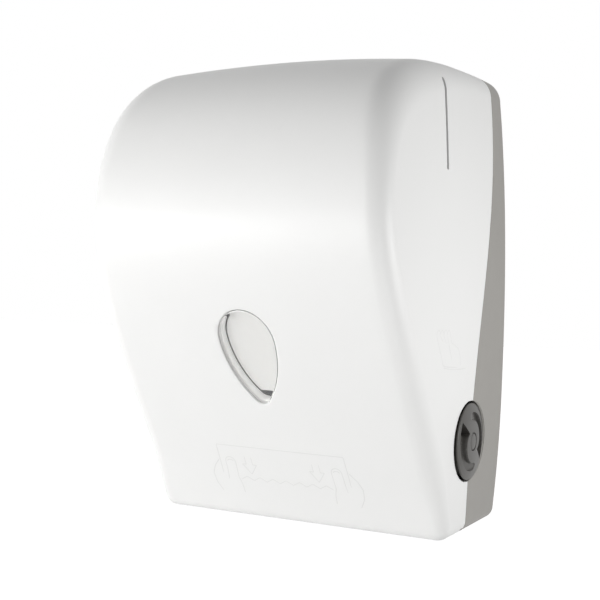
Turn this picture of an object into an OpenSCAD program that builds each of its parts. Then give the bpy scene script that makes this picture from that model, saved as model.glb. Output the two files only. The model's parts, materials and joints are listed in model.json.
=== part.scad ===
// Autocut towel dispenser: a wall plate, a bottom-hinged cover and a feed drum with a knife in it.
// Millimetres. The wall is the plane y = 0, the front faces -Y and +Z is up.
// The origin is the middle of the four wall holes. Heights below count up from the base.

/* [Casing] */
// height of the casing
case_h = 380; // [374:1:388]
// width of the casing at the wall
case_w = 275; // [271:1:283]
// depth of the cover at its nose
case_d = 225; // [220:1:232]
// depth of the cover at its base
base_d = 104; // [101:1:108]
// height of the nose
nose_z = 249; // [243:1:255]
// wall thickness of the cover and the wall plate
wall = 3; // [2.5:0.1:3.2]
// rounding of the cover's edges along the base
edge_r = 11; // [10:0.5:12]
// rounding of the cover's long edges up the front
front_r = 16.5; // [14:0.5:18]
// rounding of the upper corners
top_r = 30; // [26:1:32]
// rounding of the lower front edge
base_r = 12; // [8:1:14]
// rise of the crowned top
crown = 7; // [5:1:9]
// depth of the wall plate at the top
seam_top = 24.5; // [22:0.5:27]
// depth of the wall plate at the base
seam_base = 65.5; // [64.5:0.25:66]
// open joint between the cover and the wall plate
seam_gap = 0.6; // [0.4:0.1:0.8]

/* [Wall holes] */
// distance of the holes from the sides of the casing
hole_in = 21.5; // [20:0.5:23.5]
// spacing up
hole_dz = 300; // [290:1:304]
// height of the lower holes above the base
hole_low = 25; // [23:1:28]
// hole diameter
hole_d = 6; // [5:0.5:7]

/* [Window and slots] */
// half width of the teardrop window
win_r = 23.7; // [20:0.1:26]
// height of the middle of its round top
win_z = 152.3; // [148:0.1:158]
// radius of its long sides
win_side = 70; // [60:1:85]
// radius of its tip
win_tip = 7.5; // [5:0.5:9]
// sight slot height
slot_h = 66; // [50:1:68]
// sight slot width
slot_w = 3.6; // [2:0.2:4]
// depth of the sight slots from the wall
slot_u = 118; // [100:1:122]
// height of the middle of the sight slots
slot_z = 319; // [310:1:320]

/* [Hinge and lock] */
// hinge axis from the wall
hinge_u = 70.5; // [70:0.1:71]
// hinge axis above the base
hinge_z = 5; // [4.8:0.1:5.2]
// hinge barrel radius
barrel_r = 4; // [3.6:0.1:4.2]
// hinge pin radius
pin_r = 2; // [1.5:0.1:2.2]
// lock axis from the wall
lock_u = 40; // [38:1:42]
// lock plug radius
plug_r = 6; // [5:0.5:6.5]

/* [Drum and knob] */
// drum axis behind the lower front edge of the cover
drum_in = 36.5; // [36.1:0.1:36.9]
// drum axis above the base
drum_z = 74.5; // [74.2:0.1:74.8]
// drum radius
drum_r = 38; // [37:0.5:38.5]
// room between the drum and each side frame
drum_room = 9; // [9:0.5:13]
// shaft radius
shaft_r = 5; // [4:0.5:5.5]
// knob radius
knob_r = 30; // [28:0.5:30]
// gap round the knob
knob_gap = 2; // [2:0.1:2.5]
// how far the knob stands proud of the cover
knob_proud = 4; // [2:0.5:6]

/* [Mechanism] */
// inner face of the side frames in from the casing's side
side_room = 28.5; // [27.5:0.25:28.5]
// side frame thickness
frame_t = 4; // [3:0.5:4]
// knife swing in degrees
knife_swing = 30; // [26:1:30]
// pinch roller radius
pinch_r = 10; // [9.5:0.25:10.5]
// lift of the pinch yoke in degrees
pinch_lift = 10; // [6:1:10]

/* [Roll holder] */
// room between the roll and each side frame
roll_room = 9; // [9:0.5:11]
// roll axis from the wall
roll_u = 106; // [102:1:108]
// roll axis above the base
roll_z = 250; // [246:1:252]
// core plug radius
plug_core_r = 18; // [16:0.5:19.5]

/* [Fits] */
// radial clearance of turning fits
run_fit = 0.05; // [0.03:0.01:0.08]
// side clearance of moving pieces
slip = 0.3; // [0.3:0.05:0.5]

/* [Hidden] */
$fn = 48;

white = [0.93, 0.93, 0.92];
grey = [0.60, 0.59, 0.57];
dark = [0.44, 0.43, 0.41];
steel = [0.72, 0.73, 0.75];
amber = [0.80, 0.76, 0.66];
black = [0.13, 0.13, 0.14];
clear = [0.85, 0.90, 0.92, 0.45];

// height of the origin above the base
mid_z = hole_low + hole_dz / 2;
// widths that follow the casing, and the drum's depth, which follows the base
hole_dx = case_w - 2 * hole_in;
frame_x = case_w / 2 - side_room;
drum_half = frame_x - drum_room;
roll_w = 2 * (frame_x - roll_room);
drum_u = base_d - drum_in;

// Casing shape. Points are [u, z]: depth from the wall and height above the base.
function ease(t) = let (s = min(1, max(0, t))) s * s * (3 - 2 * s);
function bez(a, b, c, d, t) =
  a * pow(1 - t, 3) + 3 * b * t * pow(1 - t, 2) + 3 * c * t * t * (1 - t) + d * pow(t, 3);
function unit(v) = v / norm(v);
lean = unit([0.46, 1]);
toe = base_r / tan(acos(-lean[0]) / 2);
nose = [case_d, nose_z];
function front_pt(t) = bez([base_d, 0] + lean * toe, [base_d, 0] + lean * 84, nose - [0, 66], nose, t);
function top_pt(t) =
  bez(nose, nose + [0, (case_h - nose_z) * 0.855], [case_d * 0.702, case_h], [0, case_h], t);
function find_top(u, lo = 0, hi = 1, n = 24) =
  let (m = (lo + hi) / 2)
  n == 0 ? m : top_pt(m)[0] > u ? find_top(u, m, hi, n - 1) : find_top(u, lo, m, n - 1);
function top_z(u) = top_pt(find_top(u))[1];

// rear half width, narrowing up and down from the widest height, and its narrowing towards the front
wide_z = 180;
function half_w(z) =
  let (d = z - wide_z)
  case_w / 2 - (d > 0 ? 6.5 * pow(d / (case_h - wide_z), 2) : 4.5 * pow(d / wide_z, 2));
function side_x(u, z) = half_w(z) - (0.03 + 0.04 * z / case_h) * u;
// rounding at a point of the middle line: tight at the base, full up the front, fullest over the nose,
// and tighter again towards the wall
full_over = 45;
rear_tight = 9;
rear_from = 160;
function front_round(z) = edge_r + (front_r - edge_r) * ease((z - base_r) / full_over);
function over_nose(z) = ease((z - nose_z) / (case_h - nose_z));
function rear(u) = ease((rear_from - u) / (rear_from - seam_top));
function round_r(p) =
  let (f = front_round(p[1]))
  f + over_nose(p[1]) * (top_r - f - rear_tight * rear(p[0]));
// fall of the crowned top to the sides at a point of the middle line, twice as deep at the wall
function drop(x, p) = crown * (1 + rear(p[0])) * pow(x / (case_w / 2), 2) * over_nose(p[1]);
function seam_u(z) = seam_top + (seam_base - seam_top) * ease((315 - z) / 255);

// the cover's profile, from the seam along the base, up the front and over the top to the seam
cover_base_u = seam_base + seam_gap;
cover_top_u = seam_top + seam_gap;
arc_n = 3;
front_n = 12;
over_n = 14;
toe_c = [base_d - toe, base_r];
end_t = find_top(cover_top_u);
profile = concat([[cover_base_u, 0]],
  [for (i = [0:arc_n - 1]) toe_c + base_r * [sin(i / arc_n * (90 + atan2(-lean[0], 1))),
                                            -cos(i / arc_n * (90 + atan2(-lean[0], 1)))]],
  [for (i = [0:front_n - 1]) front_pt(i / front_n)],
  [for (i = [0:over_n]) top_pt(end_t * i / over_n)]);
rows = len(profile) - 1;
function turn_out(d) = unit([d[1], -d[0]]);
function out_at(i) =
  i == 0 ? [0, -1]
  : i == rows ? [0, 1]
  : turn_out(unit(profile[i + 1] - profile[i]) + unit(profile[i] - profile[i - 1]));

// side points of one row: from the seam over the rounded edge to the middle, at an offset inside the skin
edge_steps = 4;
low_rim = 2 * edge_r;
high_rim = case_h - top_r - crown - 8;
function rim_pt(i, o) =
  let (z = low_rim + (high_rim - low_rim) * i / rows, u = seam_u(z) + seam_gap)
  [side_x(u, z) - o, u, z];
function edge_pt(i, o, a) =
  let (r = round_r(profile[i]), c = profile[i] - out_at(i) * r, x = side_x(c[0], c[1]) - r,
       p = c + out_at(i) * (r - o) * sin(a))
  [x + (r - o) * cos(a), p[0], p[1] - drop(x, profile[i])];
function face_pt(i, o, f) =
  let (r = round_r(profile[i]), c = profile[i] - out_at(i) * r, x = (side_x(c[0], c[1]) - r) * f,
       p = profile[i] - out_at(i) * o)
  [x, p[0], p[1] - drop(x, profile[i])];
function half_row(i, o) = concat([rim_pt(i, o)],
  [let (a = rim_pt(i, o), b = edge_pt(i, o, 0), m = (a + b) / 2) [side_x(m[1], m[2]) - o, m[1], m[2]]],
  [for (k = [0:edge_steps]) edge_pt(i, o, 90 * k / edge_steps)], [face_pt(i, o, 0.5)]);
function flip(p) = [-p[0], p[1], p[2]];
function whole_row(i, o) =
  let (h = half_row(i, o), n = len(h))
  concat(h, [face_pt(i, o, 0)], [for (k = [n - 1:-1:0]) flip(h[k])]);
cols = len(whole_row(0, 0)) - 1;
function place(p) = [p[0], -p[1], p[2]];
function quad(a, b, c, d) = [[a, b, c], [a, c, d]];

module cover_skin() {
  pts = [for (o = [0, wall]) for (i = [0:rows]) for (p = whole_row(i, o)) place(p)];
  function id(s, i, j) = (s * (rows + 1) + i) * (cols + 1) + j;
  faces = concat(
    [for (i = [0:rows - 1]) for (j = [0:cols - 1])
      for (f = quad(id(0, i, j), id(0, i, j + 1), id(0, i + 1, j + 1), id(0, i + 1, j))) f],
    [for (i = [0:rows - 1]) for (j = [0:cols - 1])
      for (f = quad(id(1, i, j), id(1, i + 1, j), id(1, i + 1, j + 1), id(1, i, j + 1))) f],
    [for (i = [0:rows - 1]) for (f = quad(id(0, i, 0), id(0, i + 1, 0), id(1, i + 1, 0), id(1, i, 0))) f],
    [for (i = [0:rows - 1])
      for (f = quad(id(0, i, cols), id(1, i, cols), id(1, i + 1, cols), id(0, i + 1, cols))) f],
    [for (j = [0:cols - 1]) for (f = quad(id(0, 0, j), id(1, 0, j), id(1, 0, j + 1), id(0, 0, j + 1))) f],
    [for (j = [0:cols - 1])
      for (f = quad(id(0, rows, j), id(0, rows, j + 1), id(1, rows, j + 1), id(1, rows, j))) f]);
  polyhedron(points = pts, faces = faces, convexity = 8);
}

// one ring of the wall plate, at the wall (0), at the seam (1) or on the floor of the tray (2)
floor_t = wall;
plate_n = 12;
// the wall plate flares from the joint to the wall, most at one height and less above and below it
plate_flare = 4.1;
flare_z = 105;
flare_up = 235;
flare_down = 120;
function flare(z) = plate_flare * max(0, 1 - pow((z - flare_z) / (z > flare_z ? flare_up : flare_down), 2));
function plate_x(u, z) = side_x(seam_u(z), z) + flare(z) * (1 - u / seam_u(z));
function ring_u(z, level) = level == 0 ? 0 : level == 1 ? seam_u(z) : floor_t;
function ring_half(level, o) =
  let (bu = ring_u(0, level), tu = ring_u(case_h, level), tz = top_z(tu),
       tr = round_r([seam_top, case_h]), br = edge_r,
       bx = plate_x(bu, br) - br, tx = plate_x(tu, tz - tr) - tr)
  concat([for (k = [edge_steps:-1:0]) let (a = 90 * k / edge_steps)
      [bx + (br - o) * cos(a), bu, br - (br - o) * sin(a)]],
    [for (k = [0:plate_n]) let (z = low_rim + (high_rim - low_rim) * k / plate_n, u = ring_u(z, level))
      [plate_x(u, z) - o, u, z]],
    [for (k = [0:edge_steps]) let (a = 90 * k / edge_steps)
      [tx + (tr - o) * cos(a), tu, tz - tr + (tr - o) * sin(a) - drop(tx, [tu, tz])]],
    [[tx / 2, tu, tz - o - drop(tx / 2, [tu, tz])]]);
function ring(level, o) =
  let (h = ring_half(level, o), n = len(h), tu = ring_u(case_h, level))
  concat(h, [[0, tu, top_z(tu) - o]], [for (k = [n - 1:-1:0]) flip(h[k])]);
ring_n = len(ring(0, 0));

module plate_tray() {
  pts = [for (r = [ring(0, 0), ring(1, 0), ring(1, wall), ring(2, wall)]) for (p = r) place(p)];
  function id(r, k) = r * ring_n + k % ring_n;
  faces = concat([[for (k = [0:ring_n - 1]) id(0, k)]],
    [for (r = [0:2]) for (k = [0:ring_n - 1])
      for (f = quad(id(r, k), id(r + 1, k), id(r + 1, k + 1), id(r, k + 1))) f],
    [[for (k = [ring_n - 1:-1:0]) id(3, k)]]);
  polyhedron(points = pts, faces = faces, convexity = 6);
}

// Helpers. at_base counts heights from the base, rod_x and box take depths from the wall.
module at_base() { translate([0, 0, -mid_z]) children(); }
module rod_x(x0, x1, u, z, r) { translate([x0, -u, z]) rotate([0, 90, 0]) cylinder(h = x1 - x0, r = r); }
module rod_y(x, z, u0, u1, r) { translate([x, -u0, z]) rotate([90, 0, 0]) cylinder(h = u1 - u0, r = r); }
module box(x0, x1, u0, u1, z0, z1) { translate([x0, -u1, z0]) cube([x1 - x0, u1 - u0, z1 - z0]); }
module sheet_x(x0, x1) {
  translate([x0, 0, 0]) rotate([90, 0, 90]) linear_extrude(height = x1 - x0) children();
}
module sheet_y(u0, u1) {
  translate([0, -u0, 0]) rotate([90, 0, 0]) linear_extrude(height = u1 - u0) children();
}
module spot(u, z, r) { translate([-u, z]) circle(r = r); }
module bar(a, b, w) {
  d = b - a;
  translate([-a[0], a[1]]) rotate(atan2(d[1], -d[0])) translate([0, -w / 2]) square([norm(d), w]);
}
module wedge(a0, a1, r) {
  n = 8;
  polygon(concat([[0, 0]], [for (i = [0:n]) let (a = a0 + (a1 - a0) * i / n) r * [-cos(a), sin(a)]]));
}
module arc_strip(r0, r1, a0, a1) {
  intersection() {
    difference() {
      circle(r = r1, $fn = 96);
      circle(r = r0, $fn = 96);
    }
    wedge(a0, a1, r1 * 1.6);
  }
}
module both_sides() {
  children();
  mirror([1, 0, 0]) children();
}

// a tube along a path of points, as one closed skin with flat ends
function cross_dir(t) = abs(t[0]) < 0.9 ? unit(cross(t, [1, 0, 0])) : unit(cross(t, [0, 1, 0]));
function carry(n, t) = unit(n - t * (n * t));
function tangent(p, i) = unit(p[min(i + 1, len(p) - 1)] - p[max(i - 1, 0)]);
function frames(p, i = 0, acc = []) =
  i == len(p) ? acc
  : frames(p, i + 1, concat(acc, [i == 0 ? cross_dir(tangent(p, 0)) : carry(acc[i - 1], tangent(p, i))]));
module tube(path, r, sides = 6) {
  normals = frames(path);
  n = len(path);
  pts = [for (i = [0:n - 1]) for (k = [0:sides - 1])
    let (a = 360 * k / sides, t = tangent(path, i))
    path[i] + r * (normals[i] * cos(a) + cross(t, normals[i]) * sin(a))];
  faces = concat([[for (k = [0:sides - 1]) k]],
    [for (i = [0:n - 2]) for (k = [0:sides - 1]) let (a = i * sides + k, b = i * sides + (k + 1) % sides)
      for (f = quad(a, a + sides, b + sides, b)) f],
    [[for (k = [sides - 1:-1:0]) (n - 1) * sides + k]]);
  polyhedron(points = pts, faces = faces, convexity = 10);
}
// least gap of a wire to itself, between points further apart along it than reach points
function self_gap(p, r, reach) =
  min([for (i = [0:len(p) - 1 - reach]) min([for (j = [i + reach:len(p) - 1]) norm(p[i] - p[j])])]) - 2 * r;
// a torsion spring round the z axis: a straight leg, the turns and a straight leg
function torsion_path(r, turns, pitch, leg_low, leg_high) =
  let (n = 8, h = turns * pitch)
  concat([for (k = [2:-1:1]) [r, 0, -leg_low * k / 2]],
    [for (i = [0:turns * n]) let (a = 360 * i / n) [r * cos(a), r * sin(a), pitch * i / n]],
    [for (k = [1:2]) let (a = 360 * turns) [r * cos(a), r * sin(a), h + leg_high * k / 2]]);

// Wall plate and what is fixed to it.
boss_r = 5;
boss_h = 5;
seat_u = floor_t + boss_h;
seat_t = 3;
tap_r = 1.6;
frame_out = frame_x + frame_t;
flange_edge = 6;
flange_x = frame_out + flange_edge;
flange_low = 48;
flange_high = 122;
arm_x = frame_x + 3;
bracket_dz = 28;
keeper_dx = 7;
lock_top = top_z(lock_u);
hook_z = lock_top - 30;
keeper_z = hook_z - 6;
screw_seats = concat(
  [for (s = [-1, 1]) for (z = [flange_low, flange_high]) [s * flange_x, z]],
  [for (s = [-1, 1]) for (d = [-bracket_dz, bracket_dz]) [s * arm_x, roll_z + d]],
  [for (s = [-1, 1]) [s * keeper_dx, keeper_z - 6]]);
ear_x = frame_x + 1;
ear_w = 6.5;
knob_hole = knob_r + knob_gap;
rib_xs = drum_half * [-0.6, 0, 0.6];
rib_u = 9;
rib_room = 40;

module back_plate() {
  color(grey) at_base() difference() {
    union() {
      plate_tray();
      for (p = screw_seats) rod_y(p[0], p[1], floor_t - 0.5, seat_u, boss_r);
      both_sides() {
        box(ear_x, ear_x + ear_w, floor_t - 0.5, hinge_u, wall - 0.5, hinge_z + barrel_r);
        rod_x(ear_x, ear_x + ear_w, hinge_u, hinge_z, barrel_r);
      }
      for (x = rib_xs) box(x - 1, x + 1, floor_t - 0.5, rib_u, wall - 0.5, case_h - top_r - crown - rib_room);
      for (s = [-1, 1]) for (z = [hole_low, hole_low + hole_dz])
        rod_y(s * hole_dx / 2, z, floor_t - 0.5, floor_t + 2, hole_d + 2);
    }
    for (p = screw_seats) rod_y(p[0], p[1], 1, seat_u + 1, tap_r);
    for (s = [-1, 1]) for (z = [hole_low, hole_low + hole_dz])
      rod_y(s * hole_dx / 2, z, -1, floor_t + 3, hole_d / 2);
    both_sides() rod_x(ear_x - 1, ear_x + ear_w + 1, hinge_u, hinge_z, pin_r);
    rod_x(frame_out + 8, case_w, drum_u, drum_z, knob_hole);
  }
}

module hinge_pins() {
  color(steel) at_base() both_sides() rod_x(ear_x, knuckle_x + knuckle_w - 0.5, hinge_u, hinge_z, pin_r);
}

module frame_screws() {
  color(steel) at_base() for (p = screw_seats) difference() {
    union() {
      rod_y(p[0], p[1], 1.5, seat_u + seat_t, tap_r);
      rod_y(p[0], p[1], seat_u + seat_t, seat_u + seat_t + 2, 3.2);
    }
    box(p[0] - 2, p[0] + 2, seat_u + seat_t + 1, seat_u + seat_t + 3, p[1] - 0.4, p[1] + 0.4);
    box(p[0] - 0.4, p[0] + 0.4, seat_u + seat_t + 1, seat_u + seat_t + 3, p[1] - 2, p[1] + 2);
  }
}

// Side frames: plates with a screwed flange, carrying the drum, the guides and the pinch yoke.
bush_r = shaft_r + 3;
pivot_u = 22;
pivot_z = 105;
pivot = [pivot_u, pivot_z];
pivot_r = 2.5;
rod_r = 3;
guide_room = 9;
guide_in = drum_r + guide_room;
guide_t = 2;
tie_low_u = 24;
tie_low_z = 58;
tie_high_u = 30;
tie_high_z = 132;
tie_spots = [[tie_low_u, tie_low_z], [tie_high_u, tie_high_z]];
anchor_z = 148;
anchor = [drum_u, anchor_z];
anchor_r = 2;
frame_low = 34;
frame_high = 140;
frame_u = 64;
horn_w = 22;
horn_low = 90;
horn_high = 156;

module frame_outline() {
  translate([-frame_u, frame_low]) square([frame_u - seat_u, frame_high - frame_low]);
  translate([-drum_u - horn_w, horn_low]) square([2 * horn_w, horn_high - horn_low]);
  spot(drum_u, drum_z, guide_in + guide_t + 2);
}
module side_frame() {
  difference() {
    union() {
      sheet_x(frame_x, frame_out) frame_outline();
      box(frame_x, flange_x + flange_edge, seat_u, seat_u + seat_t, frame_low, frame_high);
    }
    rod_x(frame_x - 1, frame_out + 1, drum_u, drum_z, bush_r);
    rod_x(frame_x - 1, frame_out + 1, pivot[0], pivot[1], pivot_r);
    for (p = tie_spots) rod_x(frame_x - 1, frame_out + 1, p[0], p[1], rod_r);
    rod_x(frame_x - 1, frame_out + 1, anchor[0], anchor[1], anchor_r);
    for (p = housing_tabs) rod_x(frame_x - 1, frame_out + 1, p[0], p[1], tap_r);
    for (z = [flange_low, flange_high]) rod_y(flange_x, z, seat_u - 1, seat_u + seat_t + 1, tap_r + 0.4);
  }
}
module side_frame_right() { color(grey) at_base() side_frame(); }
module side_frame_left() { color(grey) at_base() mirror([1, 0, 0]) side_frame(); }

module tie_rods() {
  color(steel) at_base() for (p = tie_spots) rod_x(-frame_out, frame_out, p[0], p[1], rod_r);
}

// the chute: two curved plates round the drum, each with a straight lip down to the paper exit
front_low = -25;
front_high = 40;
rear_front = -86;
rear_back = -150;
lip_front_z = 13;
lip_rear_z = 8;
function drum_pt(r, a) = [drum_u + r * cos(a), drum_z + r * sin(a)];
module front_guide() {
  r = guide_in + guide_t / 2;
  a = drum_pt(r, front_low);
  lip = a + [sin(front_low), -cos(front_low)] * (a[1] - lip_front_z) / cos(front_low);
  color(dark) at_base() sheet_x(-frame_x, frame_x) {
    translate([-drum_u, drum_z]) arc_strip(guide_in, guide_in + guide_t, front_low, front_high);
    bar(a, lip, guide_t);
  }
}
module rear_guide() {
  a = drum_pt(guide_in + guide_t / 2, rear_front);
  color(dark) at_base() sheet_x(-frame_x, frame_x) {
    translate([-drum_u, drum_z]) arc_strip(guide_in, guide_in + guide_t, rear_back, rear_front);
    bar(a + [0, 1], [a[0], lip_rear_z], guide_t);
  }
}

bush_flange = bush_r + 2.5;
bush_t = 1.5;
module drum_bush() {
  difference() {
    union() {
      rod_x(frame_x, frame_out, drum_u, drum_z, bush_r);
      rod_x(frame_out, frame_out + bush_t, drum_u, drum_z, bush_flange);
    }
    rod_x(frame_x - 1, frame_out + bush_t + 1, drum_u, drum_z, shaft_r + run_fit);
  }
}
module drum_bush_right() { color(amber) at_base() drum_bush(); }
module drum_bush_left() { color(amber) at_base() mirror([1, 0, 0]) drum_bush(); }

// Knife in the drum. Local points [p, q]: p along the slot, q square to it.
slot_a = 45;
function knife_pt(v) =
  [drum_u + v[0] * cos(slot_a) - v[1] * sin(slot_a), drum_z + v[0] * sin(slot_a) + v[1] * cos(slot_a)];
knife_c = [18, -20];
knife_rod_r = 2.5;
lean_a = knife_swing / 2;
blade_dir = [cos(lean_a), sin(lean_a)];
blade_off = [-sin(lean_a), cos(lean_a)];
blade_tip = [drum_r - 2.5, 2];
blade_len = 14;
blade_room = 7;
blade_t = 1.2;
blade_foot = blade_tip - blade_dir * blade_len;
blade_half = drum_half - blade_room;
lever_a = 57;
lever_len = 12;
follower = knife_c + lever_len * [cos(lever_a), sin(lever_a)];
follower_out = knife_c + lever_len * [cos(lever_a - knife_swing), sin(lever_a - knife_swing)];
follower_r = 3;
lever_x = drum_half + 1;
lever_t = 2;
cam_x = lever_x + lever_t + 0.4;
groove_x = frame_x - 1.8;
groove_in = norm(follower) - follower_r - 0.5;
groove_out = norm(follower_out) + follower_r + 0.5;

module cam_plate() {
  color(amber) at_base() difference() {
    rod_x(cam_x, frame_x, drum_u, drum_z, groove_out + 3);
    rod_x(cam_x - 1, frame_x + 1, drum_u, drum_z, shaft_r + 4);
    difference() {
      rod_x(cam_x - 1, groove_x, drum_u, drum_z, groove_out);
      rod_x(cam_x - 2, groove_x + 1, drum_u, drum_z, groove_in);
    }
  }
}
module knife_shaft() {
  c = knife_pt(knife_c);
  color(steel) at_base() rod_x(-drum_half, lever_x + lever_t, c[0], c[1], knife_rod_r);
}
module knife_carrier() {
  c = knife_pt(knife_c);
  pad = 7;
  pad_t = 3;
  foot = knife_pt(blade_foot - blade_off * pad_t / 2);
  color(amber) at_base() difference() {
    sheet_x(-blade_half, blade_half) {
      spot(c[0], c[1], knife_rod_r + 2);
      bar(c, foot, 4);
      bar(foot, knife_pt(blade_foot + blade_dir * pad - blade_off * pad_t / 2), pad_t);
    }
    rod_x(-blade_half - 1, blade_half + 1, c[0], c[1], knife_rod_r);
    for (x = blade_xs) blade_bolt(x, 1.2, 0);
    box(-blade_half - 1, spring_room - blade_half, 0, case_d, 0, case_d);
    rod_x(spring_room - blade_half - 1, spring_room - blade_half + knife_reach + 0.7,
      c[0] + knife_coil_r * sin(knife_swing) / 2, c[1] - knife_coil_r * cos(knife_swing / 2),
      knife_coil_r * sin(knife_swing / 2) + knife_wire + 0.3);
  }
}
tooth = 5;
teeth = floor(2 * (blade_half - 8) / tooth);
module blade_frame() {
  f = knife_pt(blade_foot);
  translate([0, -f[0], f[1]]) rotate([-(slot_a + lean_a), 0, 0]) rotate([0, 0, 180]) children();
}
module knife_blade() {
  w = teeth * tooth / 2;
  color(steel) at_base() difference() {
    blade_frame() linear_extrude(height = blade_t)
      polygon(concat([[-w, 0], [w, 0]],
        [for (i = [0:2 * teeth]) [w - i * tooth / 2, blade_len - (i % 2 == 0 ? 3 : 0)]]));
    for (x = blade_xs) blade_bolt(x, 1.2, 0);
  }
}
blade_xs = drum_half * [-0.6, 0, 0.6];
module blade_bolt(x, r, head) {
  blade_frame() translate([x, 4, 0]) {
    translate([0, 0, -2.6]) cylinder(h = 2.6 + blade_t + head, r = r);
    if (head > 0) translate([0, 0, blade_t]) cylinder(h = head, r = 2.6);
  }
}
module blade_screws() { color(steel) at_base() for (x = blade_xs) blade_bolt(x, 1.2, 1.2); }
module follower_lever() {
  c = knife_pt(knife_c);
  f = knife_pt(follower);
  color(steel) at_base() difference() {
    sheet_x(lever_x, lever_x + lever_t) {
      spot(c[0], c[1], 5);
      bar(c, f, 5);
      spot(f[0], f[1], 2.5);
    }
    rod_x(lever_x - 1, lever_x + lever_t + 1, c[0], c[1], knife_rod_r);
  }
}
module cam_follower() {
  f = knife_pt(follower);
  color(amber) at_base() rod_x(lever_x + lever_t, groove_x - slip, f[0], f[1], follower_r);
}
end_t_x = 4;
spring_room = 12;
knife_wire = 0.6;
knife_coil_r = knife_rod_r + 1.5;
knife_turns = 5;
knife_pitch = 1.8;
knife_coil_x = end_t_x + knife_wire + slip;
knife_reach = 1.8;
knife_leg = blade_room + spring_room - knife_coil_x - knife_turns * knife_pitch + knife_reach;
knife_coil = torsion_path(knife_coil_r, knife_turns, knife_pitch, 2.2, knife_leg);
module knife_spring() {
  c = knife_pt(knife_c);
  echo("knife spring least gap", self_gap(knife_coil, knife_wire, 5));
  color(steel) at_base() translate([-drum_half + knife_coil_x, -c[0], c[1]]) rotate([0, 90, 0])
    tube(knife_coil, knife_wire);
}

// Drum: a slotted tube on two end discs and a through shaft, with grip bands.
drum_t = 3.5;
shaft_left = frame_out + 6;
shaft_right = frame_out + 8;
module drum_shaft() {
  color(steel) at_base() difference() {
    rod_x(-shaft_left, shaft_right, drum_u, drum_z, shaft_r);
    rod_x(shaft_right - 14, shaft_right + 1, drum_u, drum_z, knob_bolt_r);
  }
}
module slot_cut(half) {
  translate([0, -drum_u, drum_z]) rotate([-slot_a, 0, 0]) translate([-half, -drum_r - 8, -13])
    cube([2 * half, 22, 19]);
}
module drum_shell() {
  color(white) at_base() difference() {
    rod_x(-drum_half, drum_half, drum_u, drum_z, drum_r);
    rod_x(-drum_half - 1, drum_half + 1, drum_u, drum_z, drum_r - drum_t);
    slot_cut(blade_half + 1);
  }
}
module drum_end() {
  c = knife_pt(knife_c);
  difference() {
    union() {
      rod_x(drum_half - end_t_x, drum_half, drum_u, drum_z, drum_r - drum_t);
      rod_x(drum_half - end_t_x - 8, drum_half, drum_u, drum_z, shaft_r + 3);
    }
    rod_x(drum_half - 20, drum_half + 1, drum_u, drum_z, shaft_r);
    rod_x(drum_half - 20, drum_half + 1, c[0], c[1], knife_rod_r + run_fit);
  }
}
module drum_end_right() { color(grey) at_base() drum_end(); }
module drum_end_left() {
  c = knife_pt(knife_c);
  color(grey) at_base() difference() {
    mirror([1, 0, 0]) drum_end();
    translate([-drum_half + end_t_x, -c[0], c[1]]) rotate([0, 90, 0])
      translate([knife_coil_r, 0, -2]) cylinder(h = 4, r = knife_wire + 0.1);
  }
}
band_xs = drum_half * [-0.8, -0.4, 0, 0.4, 0.8];
band_w = 14;
band_t = 0.6;
module grip_bands() {
  color(black) at_base() difference() {
    for (x = band_xs) difference() {
      rod_x(x - band_w / 2, x + band_w / 2, drum_u, drum_z, drum_r + band_t);
      rod_x(x - band_w, x + band_w, drum_u, drum_z, drum_r + run_fit);
    }
    slot_cut(blade_half + 1);
  }
}

// Knob: a rounded disc with two ramped finger grooves, held by a screw under a cap.
knob_face = side_x(drum_u, drum_z) + knob_proud;
knob_d = 12.5;
knob_round = 3;
knob_bolt_r = 2;
cap_r = 7;
cap_t = 3;
groove_lo = 13.5;
groove_hi = 24.5;
groove_mid = (groove_lo + groove_hi) / 2;
groove_deep = 6;
groove_shallow = 0.3;
groove_a = 75;
groove_from = -15;
groove_to = 125;
groove_tilt = atan2(groove_deep - groove_shallow, groove_mid * (cos(groove_from) - cos(groove_to)));
groove_level = groove_deep - groove_mid * cos(groove_from) * tan(groove_tilt);
module finger_groove() {
  intersection() {
    difference() {
      cylinder(h = 2 * knob_d, r = groove_hi);
      translate([0, 0, -1]) cylinder(h = 2 * knob_d + 2, r = groove_lo);
    }
    rotate(groove_a) linear_extrude(height = 2 * knob_d)
      polygon([[0, 0], for (a = [groove_from : 35 : groove_to]) 2 * knob_r * [cos(a), sin(a)]]);
    rotate(groove_a) translate([0, 0, knob_d - groove_level]) rotate([0, groove_tilt, 0])
      translate([-2 * knob_r, -2 * knob_r, 0]) cube([4 * knob_r, 4 * knob_r, 2 * knob_d]);
  }
}
module feed_knob() {
  color(dark) at_base() difference() {
    union() {
      translate([knob_face - knob_d, -drum_u, drum_z]) rotate([0, 90, 0]) difference() {
        rotate_extrude($fn = 96) {
          square([knob_r, knob_d - knob_round]);
          square([knob_r - knob_round, knob_d]);
          intersection() {
            translate([knob_r - knob_round, knob_d - knob_round]) circle(r = knob_round);
            translate([knob_r - knob_round, 0]) square([knob_round, knob_d]);
          }
        }
        for (a = [0, 180]) rotate(a) finger_groove();
      }
      rod_x(frame_out + bush_t + 0.5, knob_face - knob_d + 0.1, drum_u, drum_z, shaft_r + 4);
    }
    rod_x(frame_out, shaft_right, drum_u, drum_z, shaft_r);
    rod_x(frame_out, knob_face + 1, drum_u, drum_z, knob_bolt_r);
    rod_x(knob_face - cap_t - 3, knob_face + 1, drum_u, drum_z, 4.2);
    rod_x(knob_face - cap_t, knob_face + 1, drum_u, drum_z, cap_r);
  }
}
module knob_cap() {
  color(dark) at_base() rod_x(knob_face - cap_t, knob_face - 0.3, drum_u, drum_z, cap_r - 0.1);
}
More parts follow.
